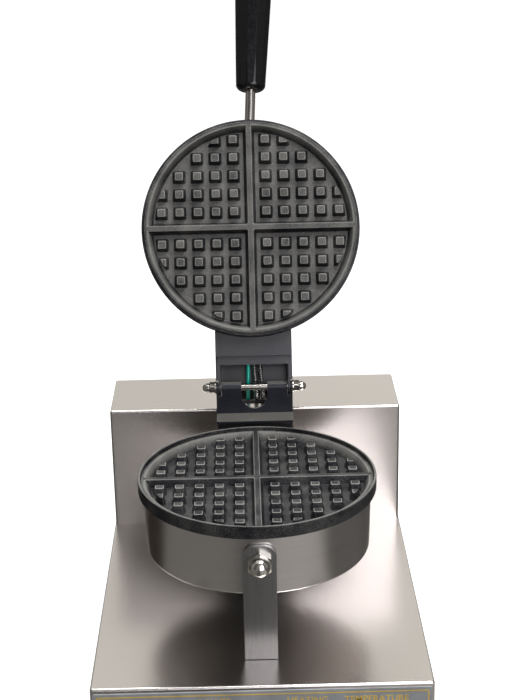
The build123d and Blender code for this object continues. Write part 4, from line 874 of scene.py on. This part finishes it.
ROOM_R = 2.2
ROOM_CENTRE = Vector((0, 0, 0.15))
ROOM_RINGS = 60
ROOM_COLUMNS = 240
room = Shell()
room_rings = []
for row in range(ROOM_RINGS + 1):
    e = math.radians(-90 + 180 / ROOM_RINGS * row)
    ring = []
    for column in range(ROOM_COLUMNS):
        a = math.radians(360 / ROOM_COLUMNS * column)
        run = Vector((math.sin(a) * math.cos(e), -math.cos(a) * math.cos(e), math.sin(e)))
        reach = ROOM_R if run.z >= 0 else min(ROOM_R, (ROOM_CENTRE.z - 0.001) / max(1e-6, -run.z))
        ring.append((ROOM_CENTRE + run * reach) / MM)
    room_rings.append(room.add(ring))
for first, second in zip(room_rings, room_rings[1:]):
    room.bridge(first, second)
room_mesh = bpy.data.meshes.new("reflection_room")
room_mesh.from_pydata([p * MM for p in room.points], [], room.faces)
tone = room_mesh.attributes.new("room_tone", "FLOAT_COLOR", "POINT")
tone.data.foreach_set("color", [c for p in room.points
                                for c in (*room_light((p * MM - ROOM_CENTRE).normalized()), 1.0)])
room_object = bpy.data.objects.new("reflection_room", room_mesh)
bpy.context.scene.collection.objects.link(room_object)
room_material = bpy.data.materials.new("reflection_room_light")
room_material.use_nodes = True
room_tree = room_material.node_tree
room_tree.nodes.clear()
glow = room_tree.nodes.new("ShaderNodeEmission")
painted = room_tree.nodes.new("ShaderNodeAttribute")
painted.attribute_name = "room_tone"
surface = room_tree.nodes.new("ShaderNodeOutputMaterial")
room_tree.links.new(painted.outputs["Color"], glow.inputs["Color"])
room_tree.links.new(glow.outputs[0], surface.inputs["Surface"])
room_mesh.materials.append(room_material)
for ray in ("visible_camera", "visible_diffuse", "visible_shadow", "visible_transmission",
            "visible_volume_scatter"):
    setattr(room_object, ray, False)

world = bpy.data.worlds.new("studio")
world.use_nodes = True
sky = world.node_tree
direction = sky.nodes.new("ShaderNodeTexCoord")
height = sky.nodes.new("ShaderNodeSeparateXYZ")
rise = sky.nodes.new("ShaderNodeMapRange")
rise.inputs["From Min"].default_value = -0.05
rise.inputs["From Max"].default_value = 0.55
rise.inputs["To Min"].default_value = 0.0
rise.inputs["To Max"].default_value = 0.42
sky.links.new(direction.outputs["Generated"], height.inputs[0])
sky.links.new(height.outputs[2], rise.inputs["Value"])
sky.links.new(rise.outputs["Result"], sky.nodes["Background"].inputs["Strength"])
sky.nodes["Background"].inputs["Color"].default_value = (1.0, 1.0, 1.0, 1.0)
bpy.context.scene.world = world
world.cycles_visibility.glossy = False

bpy.context.scene.view_settings.view_transform = "Standard"


def softbox(name, place, size, power, aim):
    data = bpy.data.lights.new(name, "AREA")
    data.shape = "RECTANGLE"
    data.size, data.size_y = size
    data.energy = power
    made = bpy.data.objects.new(name, data)
    made.location = place
    made.rotation_euler = (Vector(aim) - Vector(place)).to_track_quat("-Z", "Y").to_euler()
    bpy.context.scene.collection.objects.link(made)
    return made


softbox("key_softbox", (0.55, -0.35, 2.1), (0.8, 0.8), 38.0, (0, 0, 0.25))
softbox("back_softbox", (-0.4, 1.1, 1.8), (0.8, 0.5), 15.0, (0, 0, 0.25))
softbox("front_fill", (0.25, -2.1, 0.75), (0.9, 0.5), 13.0, (0, 0, 0.2)).visible_glossy = False

CAMERA_PLACE = Vector((-5.60, -1151.59 + AXIS_Y, 738.1)) * MM
CAMERA_AXES = (Vector((0.99968061, -0.01724063, -0.01847789)), Vector((0.02330852, 0.34643939, 0.93778274)),
               Vector((-0.0097665, -0.93791391, 0.34673059)))
camera_data = bpy.data.cameras.new("camera")
camera_data.sensor_width = 36.0
camera_data.lens = 80.79
camera_data.clip_end = 100.0
camera = bpy.data.objects.new("camera", camera_data)
camera.matrix_world = Matrix.Translation(CAMERA_PLACE) @ Matrix(CAMERA_AXES).transposed().to_4x4()
bpy.context.scene.collection.objects.link(camera)
bpy.context.scene.camera = camera
